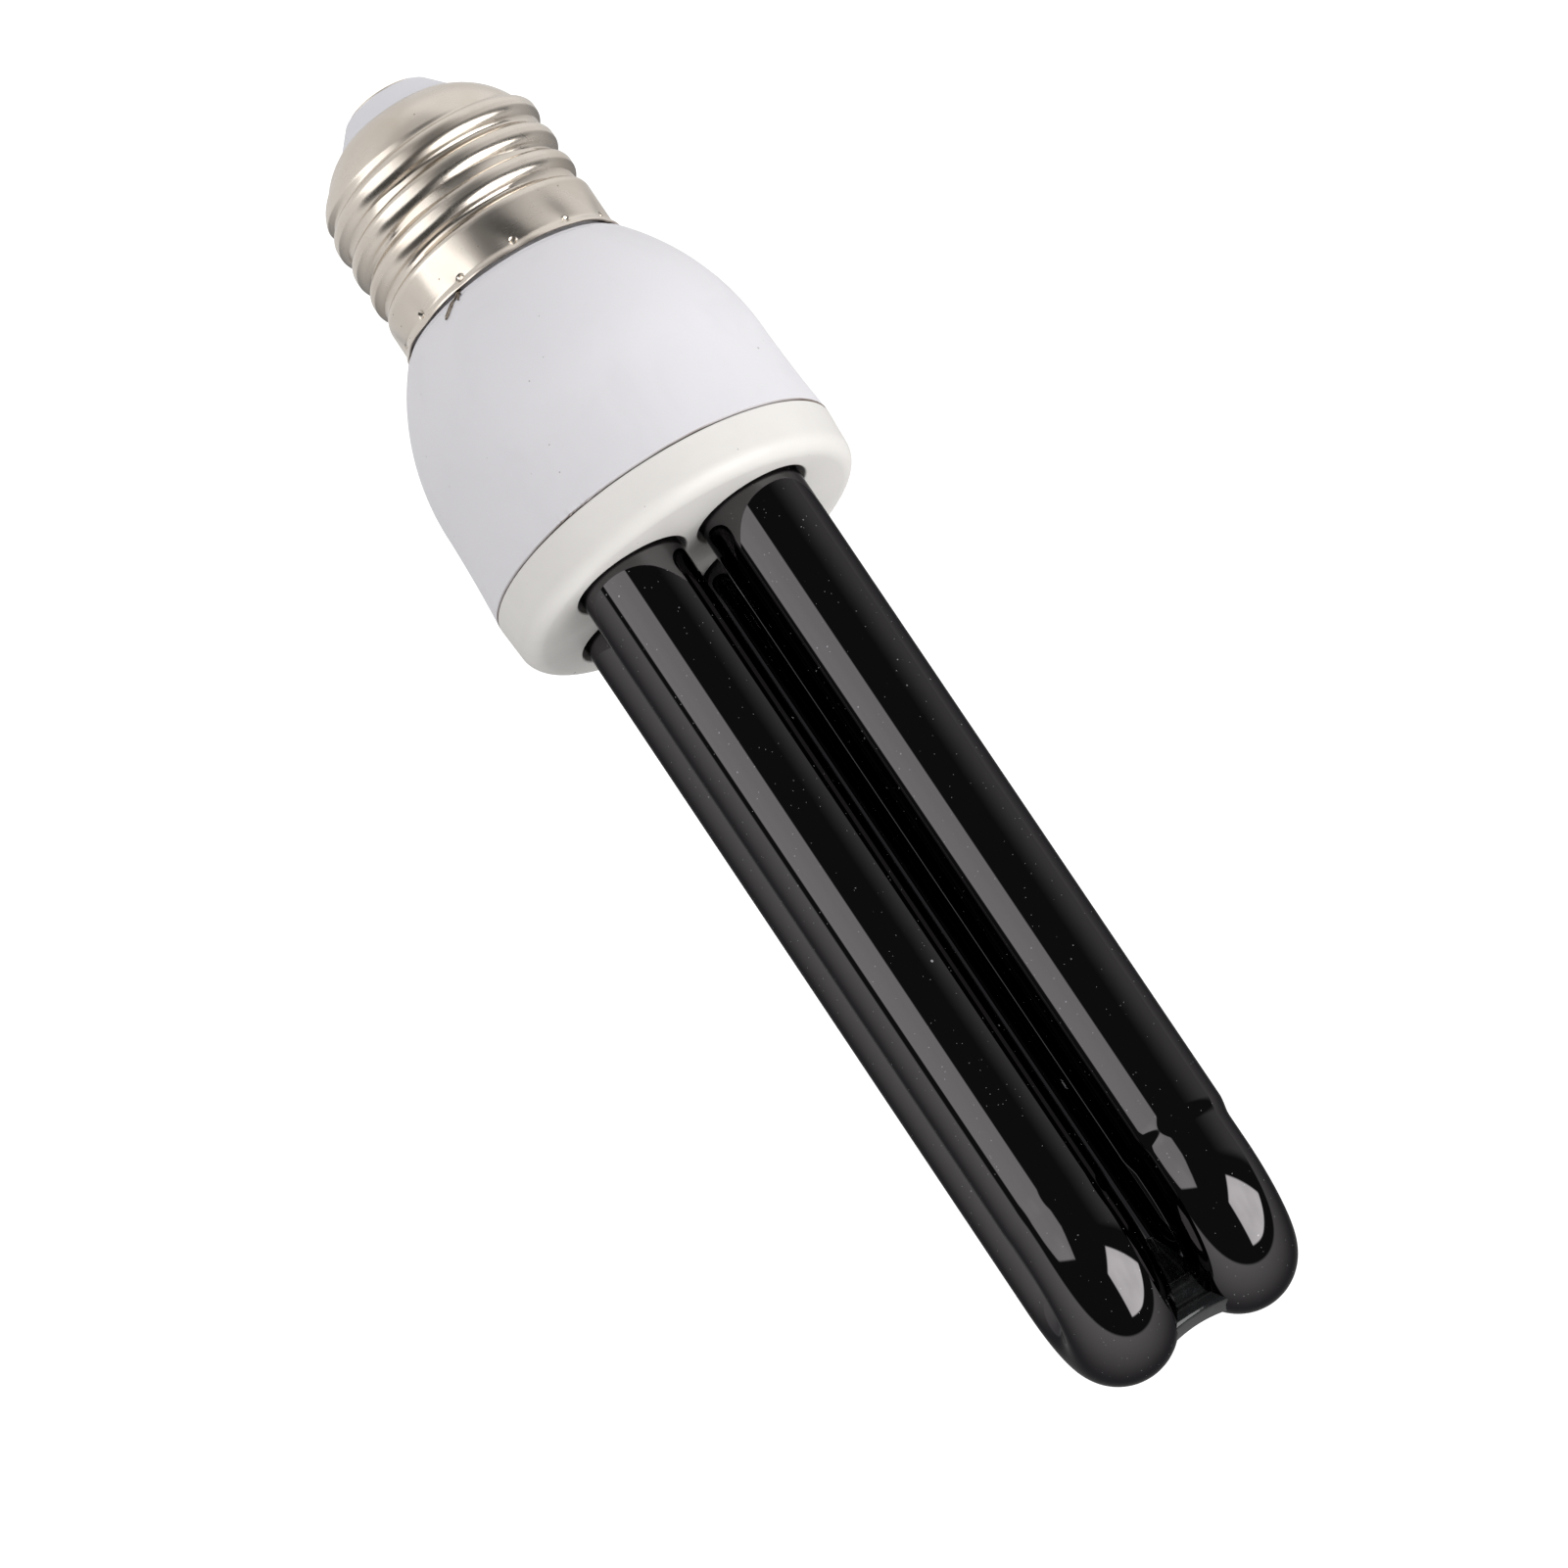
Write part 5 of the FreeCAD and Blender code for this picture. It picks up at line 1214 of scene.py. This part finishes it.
def room_level(finish, vector):
    """Brightness of the room that glossy faces mirror: a lit sheet behind the lamp, a pale wall at one
    side, two soft boxes and darkness round the camera."""
    stage = bpy.context.scene.lamp_stage
    back, side = camera_axes(stage)[:2]
    vector = finish.add("ShaderNodeVectorMath", {"operation": "NORMALIZE"}, {0: vector})[0]
    toward = finish.dot(vector, back)
    right = finish.dot(vector, -side)
    ahead = finish.dot(vector, direction(stage, 0.0, 0.0))
    up = finish.parts(vector)[2]
    # 1 towards the floor near the lamp, which the cap mirrors and the glass doesn't.
    low = finish.step(up, -0.345, -0.37)
    sheet = 0.78 + 0.58 * toward + low * (0.02 - 0.53 * toward)
    sheet = sheet * finish.step(toward + 0.3 * right - 0.24 * up - 0.2 * low, 0.03, -0.04)
    below = finish.step(up, -0.72, -0.9) * 0.36 + 0.05 + 0.17 * low
    turn = right.math("ARCTAN2", ahead)

    def between(start, end):
        """An eased step over the angle right of the camera, in degrees."""
        return finish.step(turn, math.radians(start), math.radians(end))

    wall = between(30.0, 115.0) * (1.0 - low) * 0.45 + between(12.0, 66.0) * low * 0.95
    wall = wall * finish.step(up, 0.02, -0.12) * between(170.0, 130.0)
    cloud = 0.7 + 0.6 * finish.noise(vector, 1.7, 2.0)
    boxes = [[direction(stage, *corner) for corner in box] for box in (STRIP_BOX, KEY_BOX)]
    level = sheet.math("MAXIMUM", wall).math("MAXIMUM", below)
    softer = 1.0 - 0.85 * low * between(-34.0, -9.0)
    level = level + stage.strip_level * cloud * softer * inside(finish, vector, boxes[0])
    return level + stage.key_level * cloud * inside(finish, vector, boxes[1])


def add_world(stage):
    """White for the camera, even light for the lamp and the mirrored room for its glossy faces."""
    world = bpy.data.worlds.new("pale_room")
    bpy.context.scene.world = world
    finish = Finish(world)
    camera, mirrored = light_kinds(finish)
    level = room_level(finish, finish.add("ShaderNodeTexCoord")[0])
    even, room, white = (finish.glow("ShaderNodeBackground", strength)
                         for strength in (stage.even_light, level, 1.0))
    mixed = finish.choose(camera, finish.choose(mirrored, even, room), white)
    finish.add("ShaderNodeOutputWorld", None, {"Surface": mixed})


def add_floor(stage):
    """A wide pale floor that shows white, takes the lamp's shadow and mirrors as the room does."""
    rings = np.concatenate([[0.0], np.geomspace(0.02, stage.floor_radius, 24)])
    outline = [(radius, -stage.floor_drop) for radius in rings]
    floor = build_mesh("floor", [lathe_grid(outline, round_angles(96))], False)
    finish, place = new_finish("floor_white")
    camera, mirrored = light_kinds(finish)
    middle = (0.0, 0.0, stage.target_height)
    from_lamp = finish.add("ShaderNodeVectorMath", {"operation": "SUBTRACT"}, {0: place, 1: middle})[0]
    room = finish.glow("ShaderNodeEmission", room_level(finish, from_lamp))
    matt = finish.add("ShaderNodeBsdfDiffuse", None, {"Color": (0.85, 0.85, 0.85)})[0]
    white = finish.glow("ShaderNodeEmission", camera * stage.floor_glow)
    lit = finish.add("ShaderNodeAddShader", None, {0: matt, 1: white})[0]
    finish.add("ShaderNodeOutputMaterial", None, {"Surface": finish.choose(mirrored, lit, room)})
    floor.data.materials.append(finish.owner)
    if floor.data.polygons[0].normal.z < 0.0:
        floor.data.flip_normals()


def add_lights(stage):
    """One large soft key light, above and beside the lamp."""
    data = bpy.data.lights.new("key_light", "AREA")
    data.shape = "SQUARE"
    data.size = stage.key_size
    data.energy = stage.key_power
    light = bpy.data.objects.new("key_light", data)
    way = direction(stage, stage.key_right, stage.key_up)
    place = way * stage.key_reach + Vector((0.0, 0.0, stage.target_height))
    light.matrix_world = Matrix.Translation(place) @ way.to_track_quat("Z", "Y").to_matrix().to_4x4()
    light.visible_camera = False
    light.visible_glossy = False
    bpy.context.scene.collection.objects.link(light)


class LAMP_OT_stage(bpy.types.Operator):
    """Set up the camera, the floor, the room and its light"""

    bl_idname = "lamp.stage"
    bl_label = "Stage"

    def execute(self, context):
        stage = context.scene.lamp_stage
        context.scene.view_settings.view_transform = "Standard"
        add_camera(stage)
        add_world(stage)
        add_floor(stage)
        add_lights(stage)
        return {"FINISHED"}


OPERATORS = (LAMP_OT_screw_shell, LAMP_OT_cap_end, LAMP_OT_upper_housing, LAMP_OT_lower_housing,
             LAMP_OT_discharge_tube, LAMP_OT_adhesive, LAMP_OT_neutral_wire, LAMP_OT_inner_pieces,
             LAMP_OT_stage)
GROUPS = {"lamp_cap": LampCapSizes, "lamp_housing": LampHousingSizes, "lamp_tube": LampTubeSizes,
          "lamp_finishes": LampFinishes, "lamp_stage": LampStage}


class LAMP_PT_panel(bpy.types.Panel):
    """Sizes, colours and pieces of the lamp"""

    bl_idname = "LAMP_PT_panel"
    bl_label = "Lamp"
    bl_space_type = "VIEW_3D"
    bl_region_type = "UI"
    bl_category = "Lamp"

    def draw(self, context):
        for operator in OPERATORS:
            self.layout.operator(operator.bl_idname)
        for name, group in GROUPS.items():
            box = self.layout.box()
            box.label(text=group.__doc__)
            for prop in group.__annotations__:
                box.prop(getattr(context.scene, name), prop)


def register():
    """Register the classes and attach the settings to the scene."""
    for group in GROUPS.values():
        bpy.utils.register_class(group)
    for name, group in GROUPS.items():
        setattr(bpy.types.Scene, name, bpy.props.PointerProperty(type=group))
    for operator in OPERATORS:
        bpy.utils.register_class(operator)
    bpy.utils.register_class(LAMP_PT_panel)


def unregister():
    """Remove the settings and the classes."""
    bpy.utils.unregister_class(LAMP_PT_panel)
    for operator in reversed(OPERATORS):
        bpy.utils.unregister_class(operator)
    for name in GROUPS:
        delattr(bpy.types.Scene, name)
    for group in GROUPS.values():
        bpy.utils.unregister_class(group)


def main():
    """Build the lamp and its stage."""
    register()
    for operator in OPERATORS:
        group, name = operator.bl_idname.split(".")
        getattr(getattr(bpy.ops, group), name)()
    bpy.context.view_layer.update()


if __name__ == "__main__":
    main()
